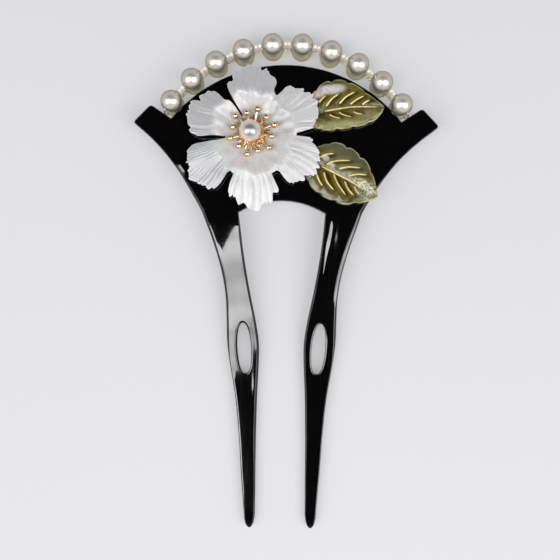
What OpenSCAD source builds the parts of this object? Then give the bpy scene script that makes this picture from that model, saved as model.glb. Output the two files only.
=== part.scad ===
// A two-prong kanzashi hairpin: a black fan-shaped head with an arch of pearls standing over it,
// a carved shell flower and two glass leaves.
// It lies face up. X runs across it, Y from the prong tips to the pearls, Z up from the surface.
// Heights called y below are measured from the prong tips, and the last step moves the middle to the origin.

/* [Body] */
// Thickness of the head
head_t = 3.6; // [3.2:0.1:4]
// Thickness of the prongs near their tips
tip_t = 2.6; // [2.2:0.1:3]
// Bevel along the front edges
face_bevel = 0.7; // [0.3:0.1:0.8]
// Bevel along the back edges
back_bevel = 0.3; // [0.2:0.1:0.4]
// Radius of the arc along the top of the head
top_arc_r = 41.5; // [41:0.1:42]
// Height of that arc's centre over the prong tips
top_arc_y = 90.1; // [89.5:0.1:90.5]
// Distance of the notch beside each ear from the middle
notch_x = 32.35; // [32:0.05:32.8]
// Inner top corner of an ear, across and up
ear_top = [38.1, 120];
// Outer corner of an ear, across and up
ear_out = [43, 114.9];
// Radius of the arch between the prongs
crotch_r = 23.2; // [22:0.1:26]
// Where the prongs start to bend down, over the tips
bend_top = 88; // [86:1:89]
// Where the bend ends, over the tips
bend_low = 42; // [36:1:50]

/* [Prong slots] */
// Length of the slot in each prong
slot_l = 14.5; // [12:0.5:16]
// Width of that slot
slot_w = 3.9; // [3:0.1:4.4]
// Middle of the slot, across and up
slot_at = [10.6, 51.7];
// Lean of the slot, outwards at the top
slot_lean = 3.9; // [2:0.1:5]

/* [Pearls] */
// Diameter of a pearl
pearl_d = 6; // [5.6:0.1:6.1]
// Gap between the front row and the back row
row_gap = 0.3; // [0.2:0.1:0.6]
// Pearls in a row
pearls = 10;
// Angle between neighbours on the arch
pearl_step = 12; // [11.8:0.1:12.1]
// Radius of the arch that a row follows
arch_r = 39.7; // [39.5:0.1:40]
// Height of that arch's centre over the prong tips
arch_y = 97.4; // [97:0.1:97.8]
// Diameter of the bore through a pearl
bore_d = 0.9; // [0.8:0.1:1.2]
// Diameter of the wire
wire_d = 0.4; // [0.3:0.05:0.5]
// Diameter of the holes that hold the wire's ends in the ears
wire_hole_d = 0.84; // [0.7:0.02:0.9]
// Depth of those holes
wire_hole_l = 2.4; // [2:0.1:4]

/* [Flower] */
// Middle of the flower, across and up
flower_at = [-9.3, 112];
// Radius of the foot under the flower
foot_r = 5.4; // [4:0.2:5.6]
// Depth of the small scallops along the petals, as a share of the reach
scallop = 0.035; // [0:0.005:0.06]
// Diameter of the pearl in the middle
heart_d = 6; // [5:0.2:6.4]
// How far that pearl sits left of the middle
heart_shift = 0.6; // [0:0.1:1]
// Filaments with a ball tip
filaments = 12;
// Diameter of a ball tip
ball_d = 1.7; // [1.2:0.1:2]
// Distance of the ball tips from the middle, long and short filaments in turn
ball_reach = [6.35, 5.45];
// Height of the ball tips over the foot of the flower
ball_z = 4.1; // [3.6:0.1:5]

/* [Leaves] */
// Thickness of a leaf beside its midrib
leaf_t = 1.3; // [1:0.1:1.5]
// How far the long edges of a leaf curl up
leaf_curl = 0.6; // [0.2:0.1:0.8]
// How far the tip of a leaf stands off the head
leaf_rise = 0.8; // [0:0.1:1.5]

/* [Hidden] */
$fn = 48;

glue_gap = 0.1;
overrun = 1;

// Edges of the right prong. Columns: height over the tips, inner edge, outer edge
EDGE = [
  [5.1, 7.15, 10.4],
  [15.8, 7.1, 11.25],
  [26.2, 7.05, 11.95],
  [37.1, 6.85, 13],
  [48, 6.4, 14.8],
  [53.5, 6.45, 15.5],
  [59.9, 7.4, 15.65],
  [66.3, 8.7, 15.9],
  [72.8, 9.9, 16.9],
  [80.4, 11.05, 19],
  [90, 12.15, 22.45]
];
// Outer edge of the head, from the prongs to the ears. Columns: height over the tips, distance from the middle
FLARE = [
  [86, 21.1],
  [90, 22.45],
  [97.8, 26.95],
  [102.4, 30.1],
  [106.2, 33.25],
  [110.4, 37.5],
  [114.9, 43]
];
// The body is cut by hand and not quite even. Columns: height over the tips, shift of its middle
LEAN = [
  [0, 0],
  [40, -0.25],
  [62, -0.45],
  [84, -0.65],
  [93, -0.85],
  [105, -0.55],
  [114.9, 0],
  [140, 0]
];
prong_x = 8.75;
nose_l = EDGE[0][0];
join_y = EDGE[len(EDGE) - 1][0];
nose_half = (EDGE[0][2] - EDGE[0][1]) / 2;
nose_thin = 0.45;
corner_cut = 1.1;
prong_steps = 34;
ear_steps = 12;
arc_steps = 17;
crotch_steps = 10;
bevel_share = 0.3;

// Petals, anticlockwise from the right. Columns: first edge and last edge in degrees, reach, and how near the
// middle the gap before the petal comes
PETALS = [
  [3, 54.5, 19.4, 12.2],
  [57, 120.5, 18, 12],
  [125.5, 184.5, 18.6, 5.9],
  [191.5, 238.5, 20.8, 7.4],
  [247, 295, 21, 12.4],
  [304.5, 355.5, 20.8, 12.5]
];
// Section of a petal. Columns: share of the reach, height of its upper side over the foot, thickness
PETAL_SECTION = [
  [0, 1.9, 1.2],
  [0.25, 1.95, 1.2],
  [0.45, 3.1, 1.2],
  [0.62, 3.8, 1.1],
  [0.8, 3.6, 0.9],
  [1, 2.8, 0.6]
];
petal_columns = 20;
scallops = 5;
hub_r = 3.3;
cup_r = 3;
cup_t = 0.7;
peg_r = 0.4;
peg_l = 2.2;
filament_r = 0.3;
ball_turn = 17.7;

// Leaves. Columns: distance from the stem end, half width left of the midrib, half width right of it
LEAF_UPPER = [
  [0, 0.6, 0.6],
  [2.5, 5.2, 3.2],
  [5.5, 8.2, 4.5],
  [9.5, 9.3, 4.7],
  [13.5, 8.4, 4.6],
  [17, 6, 4.2],
  [20, 3, 3.1],
  [22, 1.1, 1.3],
  [22.6, 0.3, 0.3]
];
LEAF_LOWER = [
  [0, 0.6, 0.6],
  [2.5, 4.4, 3.8],
  [5.5, 7.4, 6],
  [9.5, 8.4, 7.2],
  [13, 8.1, 7],
  [16.5, 7.1, 6.4],
  [19.5, 5, 4.4],
  [22.4, 2, 2],
  [23.6, 0.4, 0.4]
];
// Where the leaves lie. Columns: stem end across and up, turn in degrees
LEAF_UPPER_AT = [4.6, 116.9, 6.9];
LEAF_LOWER_AT = [4.8, 106.1, -28.7];
leaf_lobes = 5;
leaf_lobe_cut = 0.08;

// Heights over the surface that the hairpin lies on
row_low_z = pearl_d / 2;
row_high_z = row_low_z + pearl_d + row_gap;
middle_z = (row_low_z + row_high_z) / 2;
head_z = middle_z - head_t / 2;
face_z = head_z + head_t;
seat_z = face_z + glue_gap;
top_y = arch_y + arch_r * cos(pearl_step / 2) + pearl_d / 2;

// Value of a table's column at a place, on a smooth curve through its rows
function row_at(table, x, i = 0) = i >= len(table) - 2 || x < table[i + 1][0] ? i : row_at(table, x, i + 1);
function slope(table, i, c) =
  let (a = max(i - 1, 0), b = min(i + 1, len(table) - 1))
  (table[b][c] - table[a][c]) / (table[b][0] - table[a][0]);
function curve(table, x, c) =
  let (
    i = row_at(table, x),
    gap = table[i + 1][0] - table[i][0],
    t = (x - table[i][0]) / gap
  )
  table[i][c] * (2 * t ^ 3 - 3 * t ^ 2 + 1) + table[i + 1][c] * (3 * t ^ 2 - 2 * t ^ 3)
  + gap * (slope(table, i, c) * (t ^ 3 - 2 * t ^ 2 + t) + slope(table, i + 1, c) * (t ^ 3 - t ^ 2));
function ease(t) = let (u = min(max(t, 0), 1)) u * u * (3 - 2 * u);
function mix(a, b, t) = a + (b - a) * t;
function reversed(list) = [for (i = [len(list) - 1 : -1 : 0]) list[i]];
function mirrored(points) = [for (p = points) [-p[0], p[1]]];
function unit(v) = v / norm(v);
function pearl_name(row, i) = str("pearl_", row, "_", i < 10 ? "0" : "", i);

// Faces of a skin over rings of n points each, split in triangles
function skin_faces(n, rings) = [
  for (r = [0 : rings - 2], i = [0 : n - 1], half = [0, 1])
    let (a = r * n + i, b = r * n + (i + 1) % n)
    half == 0 ? [a, a + n, b + n] : [a, b + n, b]
];
module skin(rings) {
  n = len(rings[0]);
  last = (len(rings) - 1) * n;
  polyhedron(
    points = [for (ring = rings, p = ring) p],
    faces = concat(
      skin_faces(n, len(rings)),
      [[for (i = [0 : n - 1]) i]],
      [[for (i = [n - 1 : -1 : 0]) last + i]]
    )
  );
}

// Height of the body's lower side and its thickness at a height y over the tips
function nose(y) = y >= nose_l ? 1 : sqrt(1 - (1 - y / nose_l) ^ 2);
function body_t(y) = mix(tip_t, head_t, ease(y / bend_top)) * mix(nose_thin, 1, nose(y));
function body_low(y) =
  head_z * ease((y - bend_low) / (bend_top - bend_low))
  + (y < nose_l ? (mix(tip_t, head_t, ease(y / bend_top)) - body_t(y)) / 2 : 0);

// Outline of the body, anticlockwise
function prong_in(y) = y < nose_l ? prong_x - nose_half * nose(y) : curve(EDGE, y, 1);
function prong_out(y) = y < nose_l ? prong_x + nose_half * nose(y) : curve(EDGE, y, 2);
function rounded(before, corner, after) =
  let (
    a = corner + unit(before - corner) * corner_cut,
    b = corner + unit(after - corner) * corner_cut
  )
  [for (t = [0 : 0.25 : 1]) mix(mix(a, corner, t), mix(corner, b, t), t)];
function lean(y) = y > FLARE[len(FLARE) - 1][0] ? 0 : curve(LEAN, y, 1);
function on_top_arc(angle) = [top_arc_r * sin(angle), top_arc_y + top_arc_r * cos(angle)];

prong_ys = concat(
  [for (a = [9 : 9 : 81]) nose_l * (1 - cos(a))],
  [for (i = [0 : prong_steps]) mix(nose_l, join_y, i / prong_steps)]
);
notch_angle = asin(notch_x / top_arc_r);
notch = on_top_arc(notch_angle);
crotch_angle = asin(prong_in(join_y) / crotch_r);
right_outer = [for (y = prong_ys) [prong_out(y), y]];
right_inner = [for (y = prong_ys) [prong_in(y), y]];
ear_edge = [for (i = [1 : ear_steps - 1]) let (y = mix(join_y, ear_out[1], i / ear_steps)) [curve(FLARE, y, 1), y]];
head_right = concat(
  ear_edge,
  rounded(ear_edge[len(ear_edge) - 1], ear_out, ear_top),
  rounded(ear_out, ear_top, notch),
  [for (i = [0 : arc_steps]) on_top_arc(notch_angle * (1 - i / arc_steps))]
);
head_left = reversed(mirrored([for (i = [0 : len(head_right) - 2]) head_right[i]]));
crotch = [
  for (i = [1 - crotch_steps : crotch_steps - 1])
    let (angle = i / crotch_steps * crotch_angle)
    [crotch_r * sin(angle), join_y + crotch_r * (cos(angle) - cos(crotch_angle))]
];
even_outline = concat(
  right_outer, head_right, head_left, reversed(mirrored(right_outer)),
  mirrored(right_inner), crotch, reversed(right_inner)
);
outline = [for (p = even_outline) [p[0] + lean(p[1]), p[1]]];

// The outline drawn in by a bevel, which narrows with the prong towards its tip
function bevel_at(y, bevel) = y > join_y ? bevel : min(bevel, bevel_share * (prong_out(y) - prong_in(y)));
function edge_normal(a, b) = let (e = unit(b - a)) [e[1], -e[0]];
function drawn_in(points, bevel) = [
  for (i = [0 : len(points) - 1])
    let (
      n = len(points),
      before = edge_normal(points[(i + n - 1) % n], points[i]),
      after = edge_normal(points[i], points[(i + 1) % n])
    )
    points[i] - bevel_at(points[i][1], bevel) * (before + after) / (1 + before * after)
];
function lifted(points, from, share, offset) = [
  for (i = [0 : len(points) - 1])
    [points[i][0], points[i][1], body_low(from[i][1]) + share * body_t(from[i][1]) + offset * nose(from[i][1])]
];

// Flat faces of the head and the prongs, as numbers of points in the outline. The head has strips from side to side,
// an ear on each side, and triangles round the arch between the prongs, up to arch_row
prong_last = len(prong_ys) - 1;
head_end = prong_last + len(head_right) + len(head_left) + 1;
left_in = head_end + prong_last + 1;
arch_first = left_in + prong_last;
arch_last = arch_first + len(crotch) + 1;
arch_middle = (arch_first + arch_last) / 2;
arch_row = 3;
ear_row = len(ear_edge);
notch_row = len(head_right) - arc_steps;
function strips(from, to) = [
  for (k = [from : to - 1])
    [prong_last + k, prong_last + k + 1, head_end - k - 1, head_end - k]
];
head_faces = concat(
  [for (k = [0 : arch_row - 1]) [arch_last, prong_last + k, prong_last + k + 1]],
  [for (k = [0 : arch_row - 1]) [arch_first, head_end - k - 1, head_end - k]],
  [for (c = [arch_first : arch_middle - 1]) [c, c + 1, head_end - arch_row]],
  [for (c = [arch_middle : arch_last - 1]) [c, c + 1, prong_last + arch_row]],
  [[arch_middle, prong_last + arch_row, head_end - arch_row]],
  strips(arch_row, ear_row),
  [[for (k = [ear_row : notch_row]) prong_last + k]],
  [[for (k = [notch_row : -1 : ear_row]) head_end - k]],
  [[prong_last + ear_row, prong_last + notch_row, head_end - notch_row, head_end - ear_row]],
  strips(notch_row, len(head_right) - 1),
  [[for (k = [-1 : 1]) prong_last + len(head_right) + k]]
);
prong_faces = [
  for (j = [0 : prong_last - 1], side = [0, 1])
    side == 0
      ? [j, j + 1, arch_last + prong_last - j - 1, arch_last + prong_last - j]
      : [left_in + j, left_in + j + 1, head_end + prong_last - j - 1, head_end + prong_last - j]
];

module body_blank() {
  n = len(outline);
  rings = [
    lifted(drawn_in(outline, back_bevel), outline, 0, 0),
    lifted(outline, outline, 0, back_bevel),
    lifted(outline, outline, 1, -face_bevel),
    lifted(drawn_in(outline, face_bevel), outline, 1, 0)
  ];
  flats = concat(head_faces, prong_faces);
  polyhedron(
    points = [for (ring = rings, p = ring) p],
    faces = concat(
      skin_faces(n, len(rings)),
      flats,
      [for (flat = flats) reversed([for (i = flat) i + (len(rings) - 1) * n])]
    )
  );
}

function slot_point(a) =
  let (blunt = sin(a) < 0 ? 0.75 : 0.95)
  [slot_w / 2 * sign(cos(a)) * abs(cos(a)) ^ blunt, slot_l / 2 * sin(a)];

module slots() {
  for (side = [-1, 1])
    translate([side * slot_at[0] + lean(slot_at[1]), slot_at[1], -overrun])
      rotate([0, 0, -side * slot_lean])
        linear_extrude(head_z + head_t)
          polygon([for (a = [0 : 10 : 350]) slot_point(a)]);
}

// Blind holes in the inner walls of the ears, where the pearl rows' arch meets them
degrees_per_mm = 180 / (PI * arch_r);
ear_angle = 60;
wire_hole_z = 0.65;
module wire_holes() {
  for (side = [-1, 1], level = [-1, 1])
    translate([side * arch_r * sin(ear_angle), arch_y + arch_r * cos(ear_angle), middle_z + level * wire_hole_z])
      rotate([0, 0, side * (90 - ear_angle - degrees_per_mm * wire_hole_l / 2)])
        rotate([90, 0, 0])
          translate([0, 0, -overrun])
            cylinder(d = wire_hole_d, h = wire_hole_l + overrun);
}

module placed() {
  translate([0, -(prong_ys[0] + top_y) / 2, 0])
    children();
}

module body() {
  color([0.02, 0.02, 0.025])
    placed()
      difference() {
        body_blank();
        slots();
        wire_holes();
      }
}

// Pearls, from left to right
function pearl_angle(i) = (i - (pearls + 1) / 2) * pearl_step;
module pearl(i, z) {
  angle = pearl_angle(i);
  color([0.93, 0.9, 0.82])
    placed()
      translate([arch_r * sin(angle), arch_y + arch_r * cos(angle), z])
        rotate([0, 90, -angle])
          difference() {
            sphere(d = pearl_d);
            cylinder(d = bore_d, h = pearl_d + overrun, center = true);
          }
}

// A row's wire follows the arch, then steps over to its hole in the ear. A point is an angle on the arch and a drop
wire_sides = 8;
wire_bend_r = 0.35;
wire_bend = 80;
wire_turn_run = wire_bend_r * sin(wire_bend);
wire_drop = row_high_z - middle_z - wire_hole_z;
wire_run = 2 * wire_turn_run + (wire_drop - 2 * wire_bend_r * (1 - cos(wire_bend))) / tan(wire_bend);
wire_leaves = pearl_angle(pearls) + degrees_per_mm * pearl_d / 2;
wire_steps = 15;
wire_end_gap = 0.6;
wire_half = concat(
  [for (i = [0 : wire_steps]) [wire_leaves * i / wire_steps, 0]],
  [
    for (a = [20 : 20 : wire_bend])
      [wire_leaves + degrees_per_mm * wire_bend_r * sin(a), wire_bend_r * (1 - cos(a))]
  ],
  [
    for (a = [wire_bend : -20 : 0])
      [wire_leaves + degrees_per_mm * (wire_run - wire_bend_r * sin(a)), wire_drop - wire_bend_r * (1 - cos(a))]
  ],
  [[wire_leaves + degrees_per_mm * (wire_run + wire_hole_l - wire_end_gap), wire_drop]]
);
wire_route = concat(
  [for (i = [len(wire_half) - 1 : -1 : 1]) [-wire_half[i][0], wire_half[i][1]]],
  wire_half
);
function wire_point(p, z, down) = [arch_r * sin(p[0]), arch_y + arch_r * cos(p[0]), z - down * p[1]];

module pearl_wire(z, down) {
  route = [for (p = wire_route) wire_point(p, z, down)];
  last = len(route) - 1;
  color([0.85, 0.83, 0.75])
    placed()
      skin([
        for (i = [0 : last])
          let (
            angle = wire_route[i][0],
            out = [sin(angle), cos(angle), 0],
            along = unit(route[min(i + 1, last)] - route[max(i - 1, 0)]),
            up = cross(along, out)
          )
          [
            for (k = [0 : wire_sides - 1])
              route[i] + wire_d / 2 * (out * cos(360 * k / wire_sides) + up * sin(360 * k / wire_sides))
          ]
      ]);
}

// Reach of the flower's edge in a column of petal p, s running from one edge of the petal to the other
function petal_reach(p, s) =
  let (
    root = mix(PETALS[p][3], PETALS[(p + 1) % len(PETALS)][3], s),
    full = PETALS[p][2] * (1 - scallop * (1 + cos(360 * scallops * s)) / 2)
  )
  root + (full - root) * max(sin(180 * s), 0) ^ 0.25;
flower_columns = [
  for (p = [0 : len(PETALS) - 1], j = [0 : petal_columns])
    let (s = mix((1 - cos(180 * j / petal_columns)) / 2, j / petal_columns, 0.35))
    [mix(PETALS[p][0], PETALS[p][1], s), petal_reach(p, s), PETALS[p][2]]
];
// A ring of the flower at a share of the way from a circle to its edge, on its upper side or under it.
// A column is an angle, the distance of the edge and the petal's full reach
function flower_ring(share, circle, upper) = [
  for (c = flower_columns)
    let (
      r = mix(circle, c[1], share),
      top = curve(PETAL_SECTION, r / c[2], 1)
    )
    [r * cos(c[0]), r * sin(c[0]), upper ? top : top - curve(PETAL_SECTION, r / c[2], 2)]
];
function flat_ring(r, z) = [for (c = flower_columns) [r * cos(c[0]), r * sin(c[0]), z]];
flower_shares = [0.2, 0.4, 0.56, 0.72, 0.88, 1];

module flower() {
  color([0.93, 0.93, 0.92])
    placed()
      translate([flower_at[0], flower_at[1], seat_z])
        skin(concat(
          [flat_ring(foot_r, 0)],
          [for (s = concat([0], flower_shares)) flower_ring(s, foot_r, false)],
          [for (s = reversed(flower_shares)) flower_ring(s, hub_r, true)],
          [flat_ring(hub_r, PETAL_SECTION[0][1])]
        ));
}

stamens_z = seat_z + PETAL_SECTION[0][1] + 2 * glue_gap;
module filament(turn, reach) {
  root = [0.7 * cup_r, cup_t / 2];
  tip = [reach, seat_z + ball_z - stamens_z];
  rotate([0, 0, turn]) {
    translate([root[0], 0, root[1]])
      rotate([0, atan2(tip[0] - root[0], tip[1] - root[1]), 0])
        cylinder(r = filament_r, h = norm(tip - root));
    translate([tip[0], 0, tip[1]])
      sphere(d = ball_d);
  }
}

module stamens() {
  color([0.83, 0.62, 0.25])
    placed()
      translate([flower_at[0], flower_at[1], stamens_z])
        union() {
          cylinder(r = cup_r, h = cup_t);
          translate([-heart_shift, 0, 0])
            cylinder(r = peg_r, h = cup_t + peg_l);
          for (k = [0 : filaments - 1])
            filament(ball_turn + 360 * k / filaments, ball_reach[k % 2]);
        }
}

module flower_pearl() {
  color([0.9, 0.86, 0.84])
    placed()
      translate([flower_at[0] - heart_shift, flower_at[1], stamens_z + cup_t + glue_gap + heart_d / 2])
        difference() {
          sphere(d = heart_d);
          translate([0, 0, -heart_d / 2 - overrun])
            cylinder(r = peg_r + glue_gap, h = peg_l + 2 * glue_gap + overrun);
        }
}

// Cross section of a leaf at a distance from its stem end: under it from its right edge to its left, and back over it
leaf_across = [-1, -0.8, -0.4, 0, 0.4, 0.8, 1];
function leaf_width(table, x, side) =
  let (lobe = abs(sin(180 * leaf_lobes * x / table[len(table) - 1][0])))
  curve(table, x, side > 0 ? 1 : 2) * (1 - leaf_lobe_cut * (1 - lobe) ^ 2);
function leaf_low(share, e) = leaf_rise * share ^ 2 + leaf_curl * e ^ 2;
function leaf_thick(e) = leaf_t * (1 + 0.35 * sin(180 * abs(e)) - 0.35 * abs(e) ^ 3);
module leaf(table, at) {
  length = table[len(table) - 1][0];
  steps = 26;
  color([0.42, 0.42, 0.2])
    placed()
      translate([at[0], at[1], seat_z])
        rotate([0, 0, at[2]])
          skin([
            for (i = [0 : steps])
              let (
                share = i / steps,
                x = length * share,
                low = [for (e = leaf_across) [x, e * leaf_width(table, x, e), leaf_low(share, e)]],
                high = [for (e = reversed(leaf_across)) [x, e * leaf_width(table, x, e), leaf_low(share, e) + leaf_thick(e)]]
              )
              concat(low, high)
          ]);
}
module leaf_upper() {
  leaf(LEAF_UPPER, LEAF_UPPER_AT);
}
module leaf_lower() {
  leaf(LEAF_LOWER, LEAF_LOWER_AT);
}

body();
for (i = [1 : pearls]) {
  pearl(i, row_high_z);
  pearl(i, row_low_z);
}
pearl_wire(row_high_z, 1);  // pearl_wire_front
pearl_wire(row_low_z, -1);  // pearl_wire_back
flower();
stamens();
flower_pearl();
leaf_upper();
leaf_lower();
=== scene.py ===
import math

import bmesh
import bpy
import numpy as np
from bpy.props import FloatProperty, FloatVectorProperty, PointerProperty
from mathutils import Matrix, Vector


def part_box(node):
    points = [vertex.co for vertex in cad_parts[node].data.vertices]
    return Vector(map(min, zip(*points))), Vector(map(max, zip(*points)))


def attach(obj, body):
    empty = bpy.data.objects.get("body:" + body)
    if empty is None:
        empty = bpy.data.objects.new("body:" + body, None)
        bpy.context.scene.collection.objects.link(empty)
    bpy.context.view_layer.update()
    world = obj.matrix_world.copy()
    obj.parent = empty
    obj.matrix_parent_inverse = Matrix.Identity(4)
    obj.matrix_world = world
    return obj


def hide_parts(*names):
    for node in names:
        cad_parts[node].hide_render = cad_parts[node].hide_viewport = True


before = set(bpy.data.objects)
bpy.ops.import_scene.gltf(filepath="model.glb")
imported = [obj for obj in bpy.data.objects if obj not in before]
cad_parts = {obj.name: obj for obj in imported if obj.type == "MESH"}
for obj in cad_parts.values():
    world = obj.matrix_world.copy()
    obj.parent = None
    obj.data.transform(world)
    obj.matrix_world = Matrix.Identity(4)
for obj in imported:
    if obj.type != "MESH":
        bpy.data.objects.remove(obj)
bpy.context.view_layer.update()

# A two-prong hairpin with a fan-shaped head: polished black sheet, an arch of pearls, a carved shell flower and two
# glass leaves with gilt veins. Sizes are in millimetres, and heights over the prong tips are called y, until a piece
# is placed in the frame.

bl_info = {
    "name": "Kanzashi hairpin",
    "version": (1, 0, 0),
    "blender": (4, 5, 0),
    "location": "View3D > Sidebar > Hairpin",
    "description": "Shapes and finishes a pearl and shell hairpin over its solids",
    "category": "Add Mesh",
}

MM = 0.001
ROOT = "root"
HAIR = 0.002    # how far the ears and the pearls keep inside the solids

# Body
TIP_Y = 0.063
NOSE_L = 5.1
TIPS_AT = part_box("body")[0].y / MM - TIP_Y
HEAD_T = 3.6
TIP_T = 2.6
HEAD_Z = 4.35
BEND_TOP = 88
BEND_LOW = 42
PRONG_X = 8.75
NOSE_THIN = 0.45
CORNER_CUT = 1.1
TOP_ARC_R = 41.5
TOP_ARC_Y = 90.1
NOTCH_X = 32.35
EAR_TOP = (38.1, 120)
EAR_OUT = (43, 114.9)
CROTCH_R = 23.2
BEVEL_SHARE = 0.3    # most that a bevel takes of a prong's width
NARROW_BEVEL = 0.36    # width of the front bevel where it is narrow, as a share of its full width
BUFFED_RIGHT = (63, 94)    # heights between which buffing left the right prong's outer bevel flatter
BUFFED_LEFT = 101.3    # height of the place on the left of the head where it did the same
WEDGE_W = 1.7    # width of the slope along the outside of the left prong
# Edges of the right prong. Columns: height over the tips, inner edge, outer edge
EDGE = (
    (5.1, 7.15, 10.4), (15.8, 7.1, 11.25), (26.2, 7.05, 11.95), (37.1, 6.85, 13), (48, 6.4, 14.8), (53.5, 6.45, 15.5),
    (59.9, 7.4, 15.65), (66.3, 8.7, 15.9), (72.8, 9.9, 16.9), (80.4, 11.05, 19), (90, 12.15, 22.45),
)
# Outer edge of the head. Columns: height over the tips, distance from the middle
FLARE = (
    (86, 21.1), (90, 22.45), (97.8, 26.95), (102.4, 30.1), (106.2, 33.25), (110.4, 37.5), (114.9, 43),
)
# The body is cut by hand and isn't quite even. Columns: height over the tips, shift of its middle
LEAN = (
    (0, 0), (40, -0.25), (62, -0.45), (84, -0.65), (93, -0.85), (105, -0.55), (114.9, 0), (140, 0),
)
JOIN_Y = EDGE[-1][0]
SLOT_L = 14.5
SLOT_W = 3.9
SLOT_AT = (10.6, 51.7)
SLOT_LEAN = 3.9
SLOT_FRAME = 2.4    # how far the patch of face round a slot reaches past its ends
PRONG_COLUMNS = 41

# Pearls
PEARL_R = 3.0
PEARL_SIDES = 52
PEARLS = 10
PEARL_STEP = 12
SEED_STEP = 0.83    # degrees on the arch from the middle of a gap to each of its two seed beads
SEED_SIDES = 26
ARCH_R = 39.7
ARCH_Y = 97.4
ROW_HIGH = 9.3
ROW_LOW = 3.0
MIDDLE_Z = (ROW_HIGH + ROW_LOW) / 2
BORE_R = 0.45
WIRE_R = 0.2
WIRE_SIDES = 14
WIRE_HOLE_Z = 0.65
WIRE_HOLE_D = 0.84
WIRE_HOLE_L = 2.4
WIRE_HOLE_SIDES = 28
EAR_ANGLE = 60
DEG_PER_MM = 180 / (math.pi * ARCH_R)

# Flower
FLOWER_AT = (-9.3, 112)
SEAT_Z = 8.05
FOOT_R = 5.4
HUB_R = 3.3
HEART_SHIFT = 0.6
HEART_R = 3.0
HEART_BORE_R = 0.5
HEART_BORE_L = 2.4
HEART_SIDES = 64
FILAMENTS = 12
BALL_R = 0.95
BALL_SIDES = 28
BALL_REACH = (6.35, 5.45)
BALL_Z = 4.1
BALL_TURN = 17.7
# The filaments and the cup's rays between them. Columns: radius at the root, radius at the end, sides
FILAMENT = (0.46, 0.33, 12)
RAY = (0.38, 0.17, 10)
STAMENS_Z = SEAT_Z + 2.1
CUP_T = 0.7
CUP_SIDES = 144
PEG_R = 0.4
PEG_L = 1.9
PEG_Z = 0.3
GLUE_T = 0.1
# Fluted cup of the stamens, low in the middle. Columns: distance from the middle, height, depth of the flutes
CUP_RINGS = (
    (0.3, 0, 0), (2.6, 0, 0), (2.95, 0.12, 0.05), (3.0, 0.3, 0.1), (2.9, 0.5, 0.14), (2.6, 0.62, 0.14),
    (2.1, 0.66, 0.1), (1.4, 0.62, 0.05), (0.3, 0.55, 0),
)

# Leaves. Columns: distance from the stem end, half width left of the midrib, half width right of it
LEAF_UPPER = (
    (0, 0.6, 0.6), (2.5, 5.2, 3.2), (5.5, 8.2, 4.5), (9.5, 9.3, 4.7), (13.5, 8.4, 4.6), (17, 6, 4.2), (20, 3, 3.1),
    (22, 1.1, 1.3), (22.6, 0.3, 0.3),
)
LEAF_LOWER = (
    (0, 0.6, 0.6), (2.5, 4.4, 3.8), (5.5, 7.4, 6), (9.5, 8.4, 7.2), (13, 8.1, 7), (16.5, 7.1, 6.4), (19.5, 5, 4.4),
    (22.4, 2, 2), (23.6, 0.4, 0.4),
)
# Where the leaves' stem ends lie. Columns: x, y, turn in degrees
LEAF_UPPER_AT = (4.6, 116.9, 6.9)
LEAF_LOWER_AT = (4.8, 106.1, -28.7)
LEAF_LOBES = 5
LEAF_LOBE_CUT = 0.08
LEAF_T = 1.3
LEAF_ROWS = 110
VEIN_SIDES = 12
VEIN_FLAT = 0.55
LEAF_CURL = 0.6
LEAF_RISE = 0.8

# Stage
# Half section of the pale sweep. Columns: distance from the middle, height
SWEEP = ((0.01, 0), (300, 0), (600, 0), (850, 25), (1050, 140), (1160, 380), (1190, 800))
CORE_SHARE = 0.13    # how much of a main light comes from its brighter core
CAMERA_AT = (-1.04, 1.3, 237.95)
CAMERA_TURN = (0.99987, 0.01614)    # cosine and sine


# Curves and small sums

def mix(a, b, t):
    """The value that lies t of the way from a to b."""
    return a + (b - a) * t


def ease(t):
    """From 0 to 1 as t does, with a soft start and a soft end."""
    u = np.clip(t, 0, 1)
    return u * u * (3 - 2 * u)


def curve(table, x, column):
    """Value of a table's column at x, on a smooth curve through its rows."""
    rows = np.array(table, float)
    at, value = rows[:, 0], rows[:, column]
    slope = np.empty(len(at))
    slope[1:-1] = (value[2:] - value[:-2]) / (at[2:] - at[:-2])
    slope[0] = (value[1] - value[0]) / (at[1] - at[0])
    slope[-1] = (value[-1] - value[-2]) / (at[-1] - at[-2])
    i = np.clip(np.searchsorted(at, x, side="right") - 1, 0, len(at) - 2)
    gap = at[i + 1] - at[i]
    t = (x - at[i]) / gap
    held = value[i] * (2 * t ** 3 - 3 * t ** 2 + 1) + value[i + 1] * (3 * t ** 2 - 2 * t ** 3)
    return held + gap * (slope[i] * (t ** 3 - 2 * t ** 2 + t) + slope[i + 1] * (t ** 3 - t ** 2))


def through(points, steps):
    """Points on a smooth curve through the given ones, steps to each span."""
    p = np.array(points, float)
    p = np.vstack([2 * p[0] - p[1], p, 2 * p[-1] - p[-2]])
    t = np.linspace(0, 1, steps, endpoint=False)[:, None]
    spans = []
    for a, b, c, d in zip(p, p[1:], p[2:], p[3:]):
        spans.append(0.5 * (2 * b + (c - a) * t + (2 * a - 5 * b + 4 * c - d) * t ** 2
                            + (3 * b - a - 3 * c + d) * t ** 3))
    return np.vstack(spans + [p[-2:-1]])


def turned(points, degrees):
    """Points turned anticlockwise about the origin, as seen from above."""
    a = math.radians(degrees)
    x, y = points[..., 0].copy(), points[..., 1].copy()
    out = points.copy()
    out[..., 0] = x * math.cos(a) - y * math.sin(a)
    out[..., 1] = x * math.sin(a) + y * math.cos(a)
    return out


# Meshes

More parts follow.
